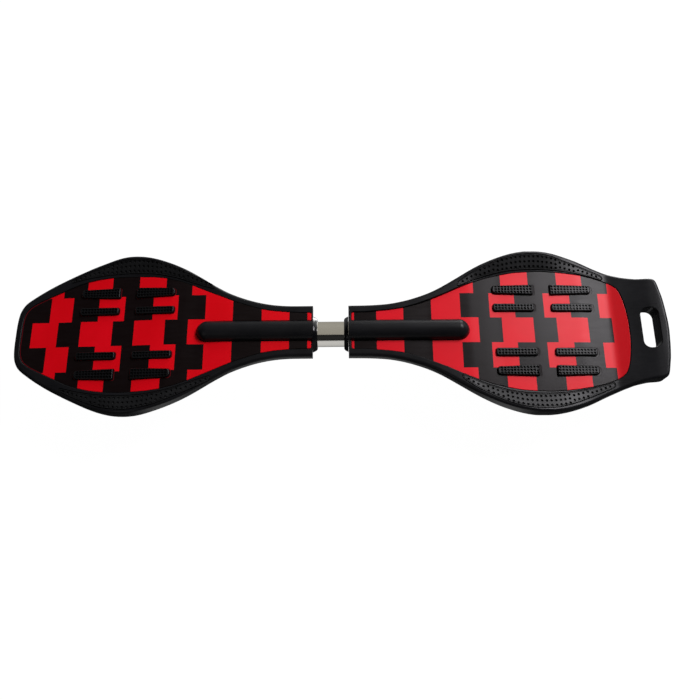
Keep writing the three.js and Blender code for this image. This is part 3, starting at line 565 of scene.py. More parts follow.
def print_material(side):
    n = Nodes(side + "_print")
    X, Y, _ = n.xyz()
    x = n.math("SUBTRACT", n.math("MULTIPLY", X, 1000.0), X_SHIFT)
    y = n.math("ABSOLUTE", n.math("MULTIPLY", Y, 1000.0))
    lo, hi = (-440.0, -30.0) if side == "nose" else (0.0, 400.0)
    at = n.span(x, lo, hi, 0.0, 1.0)
    rows = {}
    for key, spans in PRINT[side].items():
        ramp = n.new("ShaderNodeValToRGB")
        ramp.color_ramp.interpolation = "CONSTANT"
        stops = [(0.0, 0.0)]
        for a, b in spans:
            for v, w in ((a, 1.0), (b, 0.0)):
                q = (drooped(v) - lo) / (hi - lo)
                if q <= 0.001:
                    stops[0] = (0.0, w)
                elif q < 1:
                    stops.append((q, w))
        el = ramp.color_ramp.elements
        el[0].position, el[0].color = 0.0, (stops[0][1],) * 3 + (1,)
        el[1].position, el[1].color = stops[1][0], (stops[1][1],) * 3 + (1,)
        for q, w in stops[2:]:
            e = el.new(q)
            e.color = (w, w, w, 1)
        n.put(ramp.inputs[0], at)
        rows[key] = ramp.outputs[0]
    outer = n.math("GREATER_THAN", y, ROW_2)
    inner = n.math("GREATER_THAN", y, ROW_1)
    m1 = n.mix(inner, rows["mid"], rows["next"])
    mask = n.new("ShaderNodeSeparateColor")
    n.put(mask.inputs[0], n.mix(outer, m1, rows["edge"]))
    mask = mask.outputs[0]

    fine = n.noise(900, 2.0, 0.5)
    slow = n.noise(18, 3.0, 0.5)
    rub = n.noise(45, 4.0, 0.6, stretch=(1.0, 6.0, 1.0))
    # painted light: the tail's red carries more green and blue than the nose's, a painted bluish tint and sheen on the
    # same red print
    blue = 0.006 if side == "nose" else 0.015
    green = 0.0016 if side == "nose" else 0.0060
    red = n.mix(n.span(slow, 0.3, 0.7, 0, 1), rgb(0.66, green, blue), rgb(0.73, green + 0.0004, blue + 0.003))
    if side == "tail":
        # painted shade: the upturned end is painted a deeper red, darker where it turns away from the light
        red = n.mix(n.span(x, 354.0, 366.0, 0.0, 1.0), red, rgb(0.47, 0.0012, 0.006))
    black = n.mix(n.span(rub, 0.3, 0.7, 0, 1), rgb(0.0052, 0.0028, 0.0028), rgb(0.0066, 0.0040, 0.0042))
    n.bump([(slow, 0.25, 0.10), (fine, 0.012, 0.35)])
    return n.set(color=n.mix(mask, black, red),
                 rough=n.math("ADD", n.span(rub, 0.25, 0.75, 0.28, 0.35), n.math("MULTIPLY", mask, 0.03)),
                 spec=0.115 if side == "nose" else 0.108)


M = {}
M["shell"] = plastic("black_abs", (0.0080, 0.0081, 0.0092), 0.30, spec=0.11, grain=1300, depth_mm=0.02)
M["print_nose"] = print_material("nose")
M["print_tail"] = print_material("tail")
M["red"] = plastic("red_abs", (0.13, 0.003, 0.007), 0.36, spec=0.3, grain=1500, depth_mm=0.02, tint=0.1)
M["ledge"] = plastic("red_abs_ledge", (0.10, 0.010, 0.015), 0.26, spec=0.65, grain=1500, depth_mm=0.02, tint=0.1)
M["grip"] = plastic("grip_rubber", (0.0085, 0.0087, 0.0093), 0.36, spec=0.14, grain=1900, depth_mm=0.03)
M["pad"] = plastic("pad_rubber", (0.0040, 0.0042, 0.0048), 0.38, spec=0.17, grain=1900, depth_mm=0.02)
M["collar"] = plastic("gloss_nylon", (0.0030, 0.0030, 0.0040), 0.17, spec=0.5, grain=900, depth_mm=0.006, spread=0.03)
M["chrome"] = metal("chromed_steel", (0.58, 0.565, 0.53), 0.11, grain=260, spread=0.025, brushed=(6.0, 1.0, 1.0), depth_mm=0.003)
M["bearing"] = metal("bearing_steel", (0.62, 0.62, 0.63), 0.16, grain=900, spread=0.03)
M["zinc"] = metal("zinc_plate", (0.60, 0.62, 0.66), 0.34, grain=420, spread=0.09)
M["steel"] = metal("plain_steel", (0.52, 0.52, 0.53), 0.30, grain=600, spread=0.06)
M["paint"] = plastic("powder_coat", (0.012, 0.012, 0.013), 0.36, spec=0.5, grain=700, depth_mm=0.06)
M["seal"] = plastic("bearing_seal", (0.010, 0.010, 0.011), 0.5, grain=1200, depth_mm=0.02)
M["hub"] = plastic("white_nylon", (0.74, 0.74, 0.71), 0.42, spec=0.45, grain=1100, depth_mm=0.03, tint=0.05)
M["plug"] = plastic("grey_nylon", (0.10, 0.10, 0.11), 0.5, grain=900, depth_mm=0.05)


def tyre_material(side):
    """Cast urethane: smooth walls, and a tread band with fine scuffs along its run."""
    n = Nodes(side + "_urethane")
    wx = PIVOT_X[side] + TRAIL * math.cos(RAKE) + DROP * math.sin(RAKE) + X_SHIFT
    X, Y, Z = n.xyz()
    dx = n.math("SUBTRACT", X, wx * 0.001)
    dz = n.math("SUBTRACT", Z, WHEEL_R * 0.001)
    r = n.math("SQRT", n.math("ADD", n.math("MULTIPLY", dx, dx), n.math("MULTIPLY", dz, dz)))
    tread = n.span(r, 0.0355, 0.0375, 0.0, 1.0)
    scuff = n.noise(180, 4.0, 0.7, stretch=(1.0, 6.0, 1.0))
    fine = n.noise(1500, 2.0, 0.5)
    mottle = n.noise(70, 3.0, 0.6)
    worn = n.math("MULTIPLY", tread, n.span(scuff, 0.35, 0.7, 0.0, 1.0))
    color = n.mix(worn, n.mix(mottle, rgb(0.011, 0.011, 0.013), rgb(0.017, 0.017, 0.019)), rgb(0.05, 0.048, 0.045))
    n.bump([(scuff, 0.05, 0.3), (fine, 0.02, 0.4)])
    return n.set(color=color, rough=n.math("ADD", 0.30, n.math("MULTIPLY", worn, 0.3)), spec=0.5)


M["tyre_nose"] = tyre_material("nose")
M["tyre_tail"] = tyre_material("tail")


# ---------------------------------------------------------------- deck shells
def z_at(h):
    return lambda x: top(x) + h


def corner(x_end, w, x_next, r):
    """Points round the corner where an outline's cut end meets its side."""
    s = 1 if x_next > x_end else -1
    return [[x_end, 0.0], [x_end, w - r]] + [
        [x_end + s * r * (1 - math.cos(t)), w - r + r * math.sin(t)]
        for t in np.linspace(math.pi / 8, math.pi / 2, 4)]


def deck_outline(side, step):
    rows = NOSE_W[::-1] if side == "nose" else TAIL_W
    half = half_curve(rows, step, 2.4, start="line", end="mirror")
    return Loop(half, flat_start=True)


def closed_outline(rows, side, x_end, r, step, sigma, shrink=0.0, tip=None):
    """Closed outline from its cut end at the neck to its far end."""
    rows = rows[::-1] if side == "nose" else rows
    rows = [q for q in rows if (q[0] < x_end - r if side == "nose" else q[0] > x_end + r)]
    if tip is not None:
        rows = [q for q in rows if (q[0] > tip if side == "nose" else q[0] < tip)]
    w = rows[0][1] - shrink
    pts = corner(x_end, w, rows[0][0], r) + [[x, y - shrink] for x, y in rows]
    if tip is not None:
        pts += [[tip, pts[-1][1] - 4], [tip, 0.0]]
    return Loop(half_curve(pts, step, sigma))


def panel_outline(side, step):
    return closed_outline(NOSE_P if side == "nose" else TAIL_P, side, -41.0 if side == "nose" else 12.2, 1.6, step, 0.9)


def grip_edges(side):
    """Inner and outer edge of a side grip as smooth functions of x, and its ends."""
    def edge(rows):
        q = np.array(sorted(rows), float)
        s = np.concatenate([[0], np.cumsum(np.hypot(*np.diff(q, axis=0).T))])
        d = np.linspace(0, s[-1], 900)
        e = np.stack([np.interp(d, s, q[:, k]) for k in (0, 1)], 1)
        k = np.exp(-0.5 * (np.arange(-120, 121) * (s[-1] / 900) / 8.0) ** 2)
        k /= k.sum()
        lead, tail = 2 * e[0] - e[1:121][::-1], 2 * e[-1] - e[-121:-1][::-1]
        e = np.vstack([lead, e, tail])
        e = np.stack([np.convolve(e[:, i], k, mode="valid") for i in (0, 1)], 1)
        return lambda x: np.interp(x, e[:, 0], e[:, 1])

    g = GRIP[side]
    return edge(g["inner"]), edge(g["outer"]), g["ends"][0], g["ends"][1]


def grip_ring(side, sign, grow, h, n=150):
    """Outline of a side grip on the dished rim, its edges moved out by grow, its
    tips rounded."""
    inner, outer, x0, x1 = grip_edges(side)
    x0, x1 = x0 - grow, x1 + grow
    t = np.linspace(0, math.pi, n)
    x = (x0 + x1) / 2 - (x1 - x0) / 2 * np.cos(t)
    lean = np.clip(np.minimum(x - x0, x1 - x) / (3.0 + grow), 0, 1)
    ease = np.sqrt(np.clip(1 - (1 - lean) ** 2, 0.02, 1))
    tilt = 1.12 if side == "nose" else 1.14
    lo, hi = inner(x) - grow * tilt, outer(x) + grow * tilt
    mid, half = (lo + hi) / 2, (hi - lo) / 2 * ease
    a = np.stack([x, (mid + half) * sign], 1)
    b = np.stack([x, (mid - half) * sign], 1)[::-1]
    p = np.vstack([a, b])
    return dished(side, np.column_stack([p, top(p[:, 0]) + h]))


def bar_outline(p, which, grow=0.0, seg=6):
    """Plan of a raised bar, on the side y > 0."""
    if which == "inner":
        h = p["inw"]
        return rounded(p["x0"] - grow, p["x1"] + grow, 31.3 - h - grow, 31.3 + h + grow, h * 0.62 + grow, seg)
    s = 1 if p["round"] > p["square"] else -1
    xs, xr = p["square"] - s * grow, p["round"] + s * grow
    hs, hr = 7.2 + grow, 5.5 + grow
    c, q = 4.4 + grow, 1.5 + grow
    pts = []
    for k in range(seg + 1):
        a = math.pi / 2 * k / seg
        pts.append([xr - s * c * (1 - math.sin(a)), 57 - hr + c * (1 - math.cos(a))])
    for k in range(seg + 1):
        a = math.pi / 2 * k / seg
        pts.append([xr - s * c * (1 - math.cos(a)), 57 + hr - c * (1 - math.sin(a))])
    for k in range(4):
        a = math.pi / 2 * k / 3
        pts.append([xs + s * q * (1 - math.sin(a)), 57 + hs - q * (1 - math.cos(a))])
    for k in range(4):
        a = math.pi / 2 * k / 3
        pts.append([xs + s * q * (1 - math.cos(a)), 57 - hs + q * (1 - math.sin(a))])
    return pts


def flipped(pts, sign):
    return [[x, y * sign] for x, y in (pts if sign > 0 else pts[::-1])]


def caster_matrix(side):
    return np.array(Matrix.Translation((PIVOT_X[side], 0, PIVOT_Z)) @ Matrix.Rotation(-RAKE, 4, "Y"))


SCREWS = [(-18.5, -18.5), (-18.5, 18.5), (18.5, -18.5), (18.5, 18.5)]
BOLTS = {"nose": [(-75.0, 75.4), (-133.0, 79.0)], "tail": [(70.0, 75.4), (148.0, 79.0)]}


def rib_across(x, w, t=2.2, lift=1.2):
    """Wall across the underside."""
    x0, x1 = x - t / 2, x + t / 2
    zb, zt = float(bottom(x)) + lift, float(top(x)) - 4.6
    return block(x0, x1, -w, w, zb, zt)


def rib_along(y, x0, x1, t=2.2, lift=1.2):
    xs = np.linspace(x0, x1, max(3, int((x1 - x0) / 8)))
    rings = []
    for x in xs:
        zb, zt = float(bottom(x)) + lift, float(top(x)) - 4.6
        rings.append(np.array([[x, y - t / 2, zb], [x, y + t / 2, zb], [x, y + t / 2, zt], [x, y - t / 2, zt]]))
    return stack(rings, "ngon")


def deck_shell(side):
    nose = side == "nose"
    W = table_fn(NOSE_W if nose else TAIL_W, 0)
    out = deck_outline(side, 2.2)

    def handle(x):            # the carry handle has a round lower edge too
        t = np.clip((np.asarray(x) - 380.0) / 10.0, 0, 1)
        return t * t * (3 - 2 * t)

    levels = []
    for a in np.linspace(0, math.pi / 2, 5):      # lower lip, rounder on the handle
        levels.append((lambda x, a=a: (1.3 + 0.6 * handle(x)) * (1 - math.sin(a)) + 0.3 * (1 - handle(x)),
                       lambda x, a=a: bottom(x) + (1.3 + 0.6 * handle(x)) * (1 - math.cos(a))))
    levels.append((0.0, z_at(RIM_UP - ROUND_H)))
    for a in np.linspace(0, math.pi / 2, 9)[1:]:
        levels.append((ROUND_D * (1 - math.cos(a)), z_at(RIM_UP - ROUND_H + ROUND_H * math.sin(a))))
    rings = [out.ring(d, z) for d, z in levels[:5]] + [dished(side, out.ring(d, z)) for d, z in levels[5:]]
    inner = out.ring(ROUND_D, z_at(RIM_UP))           # inner edge of the dished rim
    inner[:, 1] = np.sign(inner[:, 1]) * np.minimum(np.abs(inner[:, 1]) - 0.4, PANEL_HALF[side](inner[:, 0]) + 1.6)
    base = stack(rings + [dished(side, inner)])

    ops = []
    # underside, with a round top edge and its walls
    rows = NOSE_W if nose else TAIL_W
    cav = closed_outline(rows, side, -43.0 if nose else 12.3, 4.0, 3.2, 2.0, shrink=0.0,
                         tip=-429.0 if nose else 384.0)
    cav_levels = [(WALL_T, lambda x: bottom(x) - 3), (WALL_T + 0.2, lambda x: top(x) - PLATE_DOWN - 2.6)]
    for a in np.linspace(0, math.pi / 2, 4)[1:]:
        cav_levels.append((WALL_T + 0.2 + 2.6 * (1 - math.cos(a)),
                           lambda x, a=a: top(x) - PLATE_DOWN - 2.6 + 2.6 * math.sin(a)))
    ops.append(("cut", stack([cav.ring(d, z) for d, z in cav_levels])))
    px = PIVOT_X[side]
    across = ([-70, -100, -135, -170, -205, -240, -275, -311.5, -347, -383, -412] if nose
              else [45, 80, 116, 152, 188, 223.5, 252, 280, 308, 335, 362])
    for x in across:
        ops.append(("add", rib_across(x, float(W(x)) - 1.8)))
    runs = ({19: [(-427, -340), (-286, -190)], 38: [(-420, -150)], 57: [(-398, -170)], 76: [(-366, -201)]} if nose
            else {19: [(166, 198), (250, 382)], 38: [(125, 382)], 57: [(146, 382)], 76: [(176, 354)]})
    for y, spans in runs.items():
        for a, b in spans:
            for sgn in (1, -1):
                ops.append(("add", rib_along(y * sgn, a, b)))
    # tunnel for the torsion tube
    hx = (-194.0, NOSE_NECK_X) if nose else (TAIL_NECK_X, 170.0)
    ring = []
    for t in np.linspace(math.radians(114.4), math.radians(425.6), 49):
        ring.append([HOUSING_R * math.cos(t), Z_TUBE + HOUSING_R * math.sin(t)])
    far = hx[0] if nose else hx[1]
    s = 1 if nose else -1
    rings = []
    for d, x in ((1.6, far), (0.5, far + s * 0.5), (0.0, far + s * 1.6), (0.0, hx[1] if nose else hx[0])):
        k = (HOUSING_R - d) / HOUSING_R
        rings.append(np.array([[x, y * k, Z_TUBE + (z - Z_TUBE) * k] for y, z in ring]))
    ops.append(("add", stack(rings, "ngon")))
    # wedge that carries the caster plate
    m = caster_matrix(side)
    ped = prism(rounded(px - 26, px + 26, -30, 30, 7, 5), [(0, 40), (0, 94.3)])
    ped = combine(ped, [("cut", block(-90, 90, -90, 90, -140, 0).at(m))])
    ops.append(("add", ped))

    # recess of the printed panel: rounded lip, flat floor
    pan = panel_outline(side, 1.7)
    r = 1.05
    lip = [(-0.35, z_at(-PANEL_T - 0.3)), (-0.35, z_at(RIM_UP - r))]
    for a in np.radians([15, 32, 50, 68, 80]):
        lip.append((-(0.35 + r * (1 - math.cos(a))), z_at(RIM_UP - r + r * math.sin(a))))
    lip += [(-(0.35 + r + 0.25), z_at(RIM_UP + 0.45)), (-(0.35 + r + 0.3), z_at(15))]
    ops.append(("cut", stack([pan.ring(*lip[0])] + [dished(side, pan.ring(d, z)) for d, z in lip[1:-1]] + [pan.ring(*lip[-1])])))

    # ridge over the tunnel: half round, its far end a quarter sphere
    end = -192.5 if nose else 168.0
    s = 1 if nose else -1
    cx = end + s * HUMP_R
    neck = NOSE_NECK_X if nose else TAIL_NECK_X
    rings = []
    arc = np.linspace(-0.28, math.pi + 0.28, 41)
    for x, rr in [(cx - s * HUMP_R * math.cos(t), HUMP_R * math.sin(t)) for t in np.linspace(0.12, math.pi / 2, 14)] + [
            (cx + (neck - cx) * k, HUMP_R) for k in np.linspace(0, 1, 14)[1:]]:
        y, z = rr * np.cos(arc), rr * np.sin(arc)
        z = np.maximum(z, -3.2)
        rings.append(np.column_stack([np.full(41, x), y, Z_PANEL + z]))
    ops.append(("add", stack(rings, "ngon")))

    # pockets for the pads' webs, recesses for the side grips
    for key, p in PADS.items():
        if key.startswith(side):
            for sgn in (1, -1):
                web = flipped(rounded(p["x0"] - 0.5, p["x1"] + 0.5, 25.7, 64.9, 2.0, 3), sgn)
                xs = np.array(web)[:, 0]
                ops.append(("cut", tiled(web, -3.1, 2.0)))
    for sgn in (1, -1):
        g = [(0.75, -0.6), (0.75, 2.55), (0.8, 2.8), (1.0, 3.04), (1.05, 7.0)]
        ops.append(("cut", stack([grip_ring(side, sgn, w, h) for w, h in g])))
    # bore, bolt holes, plate holes
    if nose:
        ops.append(("cut", revolve([(0, -150), (BORE_R, -150), (BORE_R, -20), (0, -20)], 72, "x", (0, 0, Z_TUBE))))
    else:
        ops.append(("cut", revolve([(0, -12), (BORE_R, -12), (BORE_R, 162), (0, 162)], 72, "x", (0, 0, Z_TUBE))))
    for bx, tip in BOLTS[side]:
        ops.append(("cut", revolve([(0, 50), (6.6, 50), (6.6, Z_TUBE - 21), (3.4, Z_TUBE - 21), (3.4, tip + 0.4),
                                    (0, tip + 0.4)], 32, "z", (bx, 0, 0))))
    cuts = [revolve([(0, -4), (8, -4), (8, 5.6), (0, 5.6)], 32)]
    cuts += [revolve([(0, -4), (2.5, -4), (2.5, 11.2), (0, 11.2)], 20).moved(a, b, 0) for a, b in SCREWS]
    for c in cuts:
        ops.append(("cut", c.at(m)))
    if not nose:
        x0, x1, hy, rr = SLOT
        slot = Free(rounded(x0, x1, -hy, hy, rr, 10))
        r1, r2 = 1.3, 0.6
        lv = [(-(r2 + 0.3), 70), (-(r2 + 0.15), HANDLE_Z - 0.1)]
        for a in np.linspace(0.2, math.pi / 2, 6):
            lv.append((-r2 * (1 - math.sin(a)), HANDLE_Z + r2 * (1 - math.cos(a))))
        for a in np.linspace(0, 1.38, 7):
            lv.append((-r1 * (1 - math.cos(a)), z_at(RIM_UP - r1 + r1 * math.sin(a))))
        lv += [(-(r1 + 0.35), z_at(RIM_UP + 0.5)), (-(r1 + 0.4), 125)]
        rings = [slot.ring(d, z) for d, z in lv]
        ops.append(("cut", stack(rings[:8] + [dished(side, ring) for ring in rings[8:]], "ngon")))
    return combine(base, ops)


def tiled(outline, lo, hi):
    """Upright prism whose faces follow the slope of the deck."""
    loop = Free(outline)
    return stack([loop.ring(0, z_at(lo)), loop.ring(0, z_at(hi))], "ngon")


def deck_panel(side):
    nose = side == "nose"
    pan = panel_outline(side, 1.7)
    levels = [(0.5, z_at(-PANEL_T)), (0.1, z_at(-PANEL_T + 0.3)), (0.0, z_at(-0.45)), (0.08, z_at(-0.2)),
              (0.24, z_at(-0.06)), (0.45, z_at(0.0)), (1.0, z_at(0.0))]
    body = stack([pan.ring(d, z) for d, z in levels])
    n = pan.n
    body.m = [0] * len(body.f)
    for r in range(2, len(levels) - 1):       # the film stops short of the edge at the nose
        for i in range(n):
            if pan.p[i, 0] < -394:
                body.m[r * n + i] = 1
    # gap round the ridge, its upper edge eased
    end = -192.5 if nose else 168.0
    s = 1 if nose else -1
    cx = end + s * HUMP_R
    far = -20.0 if nose else -10.0
    rings = []
    for ease, z in ((0.35, 80.0), (0.35, 99.65), (0.5, 99.85), (0.75, 100.02), (0.8, 130.0)):
        rr = HUMP_R + ease
        t = np.linspace(math.pi / 2, -math.pi / 2, 25)
        q = [[far, rr]] + [[cx - s * rr * math.cos(a), rr * math.sin(a)] for a in t] + [[far, -rr]]
        rings.append(np.column_stack([np.array(q), np.full(len(q), z)]))
    ops = [("cut", painted(stack(rings, "ngon"), 1))]
    # holes for the bars: a bare ledge runs round each bar, wider at its rear end
    for key, p in PADS.items():
        if key.startswith(side):
            for which in ("inner", "outer"):
                for sgn in (1, -1):
                    rings = []
                    wide = 0.6 if nose else 2.5
                    for g, ext, h in ((0.35, 0, -4.0), (0.35, 0, -0.6), (0.5, 0.07, -0.3), (0.8, 0.87, -0.2),
                                      (0.9, 0.94, -0.12), (1.0, 1.0, 0.06), (1.02, 1.01, 9.0)):
                        q = np.array(flipped(bar_outline(p, which, g), sgn))
                        q[:, 0] += ext * wide * np.clip((q[:, 0] - (p["x0"] + p["x1"]) / 2) / 12.0, 0, 1)
                        rings.append(np.column_stack([q, top(q[:, 0]) + h]))
                    ops.append(("cut", painted(stack(rings, "ngon"), 2)))
    return combine(body, ops)


# --------------------------------------------------------------- grips, pads
def cups(centres, profile, n):
    """Little turned tools standing at the centres: profile [(r, h)] from its top
    down to its point on the axis, h from each centre's height."""
    one = revolve([(0, profile[0][1])] + profile, n)
    return merged([one.moved(*c) for c in centres])


def side_grip(side, sign):
    lv = [(0.0, -0.3), (0.0, 2.75), (-0.08, 3.02), (-0.25, 3.2), (-0.5, 3.28), (-0.75, 3.24), (-0.95, 3.06), (-1.05, 2.6),
          (-1.65, 2.6), (-1.75, 2.95), (-1.9, 3.1)]
    inner, outer, x0, x1 = grip_edges(side)
    body = stack([grip_ring(side, sign, w, h) for w, h in lv])
    centres = []
    pitch = 6.15
    k = int((x1 - x0 - 9) / pitch)
    start = (x0 + x1) / 2 - k * pitch / 2
    for i in range(k + 1):
        x = start + i * pitch
        a, b = float(inner(x)), float(outer(x))
        w = b - a
        slope = (float(inner(x + 2)) + float(outer(x + 2)) - a - b) / 4
        across = w / math.hypot(1, slope)
        rows = 3 if across > 15.2 else 2 if across > 11.4 else 1
        gap = min(6.5, (w - 5.4) / max(rows - 1, 1))
        for q in range(rows):
            y = (a + b) / 2 + gap * (q - (rows - 1) / 2) + (0.3 if rows > 1 else 0.0)
            centres.append((x, y * sign, float(top(x)) + 3.1 + float(rise(side, x, y))))
    tool = cups(centres, [(2.0, 0.9), (1.86, 0.06), (1.74, -0.1), (1.66, -0.5), (1.5, -1.05),
                           (1.2, -1.6), (0.8, -2.0), (0.4, -2.22), (0, -2.3)], 16)
    return combine(body, [("cut", tool)])


def pad(key, sign):
    p = PADS[key]
    web = flipped(rounded(p["x0"] - 0.2, p["x1"] + 0.2, 26, 64.6, 1.7, 3), sign)
    body = tiled(web, -2.8, -2.0)
    ops, pits = [], []
    for which in ("inner", "outer"):
        o = Free(flipped(bar_outline(p, which), sign))
        lv = [(0.0, -2.6), (0.0, 2.0), (0.12, 2.55), (0.42, 3.0), (0.85, 3.28), (1.35, 3.38), (1.6, 3.4)]
        ops.append(("add", stack([o.ring(d, z_at(h)) for d, h in lv], "ngon")))
        nx = 12
        s = 1 if p["round"] > p["square"] else -1
        a, b = p["square"] + s * 2.9, p["round"] - s * 5.2
        if which == "inner":
            a, b = p["x0"] + 4.0, p["x1"] - 4.0
        for x in np.linspace(a, b, nx):
            if which == "inner":
                k, ys = 4.04, [31.3 - 2.02, 31.3 + 2.02]
            else:
                t = abs(x - p["square"]) / abs(p["round"] - p["square"])
                k = 4.25 - 0.95 * t
                ys = [57 - k, 57, 57 + k]
            for y in ys:
                one = Free(rounded(-1.62, 1.62, -0.4 * k, 0.4 * k, 0.5, 2))
                levels = ((0.5, -2.2), (0.26, -1.85), (0.12, -0.3), (0.05, -0.06), (-0.06, 0.03), (-0.1, 0.8))
                pit = stack([one.ring(d, h) for d, h in levels], "ngon")
                pits.append(pit.moved(x, y * sign, float(top(x)) + 3.4))
    body = combine(body, ops)
    return combine(body, [("cut", merged(pits))])


# ------------------------------------------------------------------- build it
for side in ("nose", "tail"):
    deck = side + "_deck"
    piece(side + "_shell", deck_shell(side), deck, [M["shell"]], side + "_deck_shell", angle=30)
    piece(side + "_panel", deck_panel(side), deck, [M["print_" + side], M["red"], M["ledge"]], side + "_deck_panel", angle=9)
    for sign, hand in ((1, "right"), (-1, "left")):
        piece(f"{side}_grip_{hand}", side_grip(side, sign), deck, [M["grip"]], f"{side}_side_grip_{hand}")
    for key in PADS:
        if key.startswith(side):
            for sign, hand in ((1, "right"), (-1, "left")):
                piece(f"{key}_{hand}_v", pad(key, sign), deck, [M["pad"]], f"{key}_{hand}")

# collars and torsion tube
ring = [(17.35, 0.2), (17.6, 0.0), (19.2, 0.0), (19.7, 0.1), (20.4, 0.38), (21.0, 0.8), (21.5, 1.3), (22.0, 1.95), (22.45, 2.7),
        (22.85, 3.5), (23.2, 4.3), (23.5, 5.0), (23.75, 5.4), (23.9, 5.7), (17.35, 5.7)]
piece("tail_collar_v", revolve(ring, 96, "x", (TAIL_NECK_X - 6, 0, Z_TUBE)), "tail_deck", [M["collar"]], "tail_collar", angle=40)
piece("nose_collar_v", revolve([(r, -h) for r, h in ring], 96, "x", (NOSE_NECK_X + 6, 0, Z_TUBE)), "nose_deck", [M["collar"]], "nose_collar", angle=40)
tube = [(14, -147.5), (14.5, -148), (16.5, -148), (17, -147.5)] + [(17, x) for x in (-100, -60, -40, -20, -5, 10, 40, 90)] + [
    (17, 133.5), (16.5, 134), (14.5, 134), (14, 133.5)]
tube = revolve(tube, 96, "x", (0, 0, Z_TUBE))
slot = [[0, -1]] + [[22 * math.sin(math.radians(a)), -22 * math.cos(math.radians(a))] for a in np.linspace(-47, 47, 13)]
slot = Solid(prism(slot, [(0, 66.6), (0, 73.4)]).v[:, [2, 0, 1]] + [0, 0, Z_TUBE], prism(slot, [(0, 66.6), (0, 73.4)]).f)
tube = combine(tube, [("cut", revolve([(0, 50), (3.3, 50), (3.3, Z_TUBE), (0, Z_TUBE)], 24, "z", (x, 0, 0))) for x in (-75, -133)] + [("cut", slot)])
piece("tube", tube, "nose_deck", [M["chrome"]], "torsion_tube")


# -------------------------------------------------------------------- casters
def hexagon(r, z0, z1, bore=0.0, c=0.8):
    """Hexagon head or nut with turned corners."""
    s = prism(polygon(6, r / math.cos(math.pi / 6) * 0.998), [(0, z0), (0, z1)])
    R = r / math.cos(math.pi / 6)
    ball = revolve([(0, z0), (r * 1.0, z0), (R * 1.02, z0 + (R * 1.02 - r) * 0.58), (R * 1.02, z1 - (R * 1.02 - r) * 0.58),
                    (r * 1.0, z1), (0, z1)], 48)
    ops = [("meet", ball)]
    if bore:
        ops.append(("cut", revolve([(0, z0 - 1), (bore + 0.7, z0 - 1), (bore + 0.7, z0), (bore, z0 + 0.7), (bore, z1 - 0.7),
                                    (bore + 0.7, z1), (bore + 0.7, z1 + 1), (0, z1 + 1)], 32)))
    return combine(s, ops)


Y_AXIS = np.array(Matrix.Rotation(-math.pi / 2, 4, "X"))      # local z to +y


def bolt(z0, z1, r, tip=0.8):
    """Threaded shank along z, thread as fine rings."""
    prof = [(0, z0), (r - 0.9, z0), (r - 0.25, z0 + tip)]
    z = z0 + tip
    while z + 1.0 < z1 and z < z0 + 14:
        prof += [(r - 0.35, z + 0.1), (r, z + 0.5), (r - 0.35, z + 0.9)]
        z += 1.0
    prof += [(r, z + 0.3), (r, z1), (0, z1)]
    return revolve(prof, 28)


def wheel_parts():
    """Tyre, hub, bearing and spacer about the local Z axis, width along it."""
    t = [(23.8, -10.6), (24.4, -11.1), (26.5, -11.55), (29.5, -11.9), (31.2, -12.0), (33.0, -11.75), (34.6, -11.0), (35.8, -9.9),
         (36.7, -8.5), (37.3, -6.9), (37.75, -4.9), (37.95, -2.6), (38.0, 0.0)]
    t = t + [(r, -z) for r, z in t[::-1][1:]]
    core = [(23.8, 9.5), (23.8, 3.0), (23.3, 2.4), (23.3, -2.4), (23.8, -3.0), (23.8, -9.5)]
    tyre = revolve(t + core[:2] + core[4:], 128)
    hub = revolve([(9.2, -4.2), (11.2, -4.2), (11.2, -11.3), (11.7, -11.8), (14.2, -11.8), (14.7, -11.4), (15.2, -9.4), (16.2, -8.4),
                   (20.8, -8.4), (21.4, -8.9), (21.8, -10.4), (22.2, -10.8), (23.2, -10.8), (23.5, -10.4),
                   (23.5, 10.4), (23.2, 10.8), (22.2, 10.8), (21.8, 10.4), (21.4, 8.9), (20.8, 8.4), (16.2, 8.4), (15.2, 9.4),
                   (14.7, 11.4), (14.2, 11.8), (11.7, 11.8), (11.2, 11.3), (11.2, 4.2), (9.2, 4.2)], 96)
    pockets = []
    for i in range(8):
        a = 2 * math.pi * (i + 0.5) / 8
        pts = []
        for rr, da in ((16.9, -0.19), (20.7, -0.27), (20.7, 0.27), (16.9, 0.19)):
            pts.append([rr * math.cos(a + da), rr * math.sin(a + da)])
        for z0, z1 in ((3.2, 12.0), (-12.0, -3.2)):
            pockets.append(prism(pts, [(0, z0), (0, z1)]))
    hub = combine(hub, [("cut", merged(pockets))])
    race = revolve([(4.35, 0.3), (4.6, 0.05), (5.9, 0.05), (6.15, 0.25), (6.15, 0.62), (9.35, 0.62), (9.35, 0.25), (9.6, 0.05),
                    (10.65, 0.05), (10.95, 0.35), (10.95, 6.65), (10.65, 6.95), (9.6, 6.95), (9.35, 6.75), (9.35, 6.38),
                    (6.15, 6.38), (6.15, 6.75), (5.9, 6.95), (4.6, 6.95), (4.35, 6.7)], 72)
    spacer = revolve([(4.35, -4.1), (6.1, -4.1), (6.4, -3.8), (6.4, 3.8), (6.1, 4.1), (4.35, 4.1)], 40)
    return tyre, hub, race, spacer


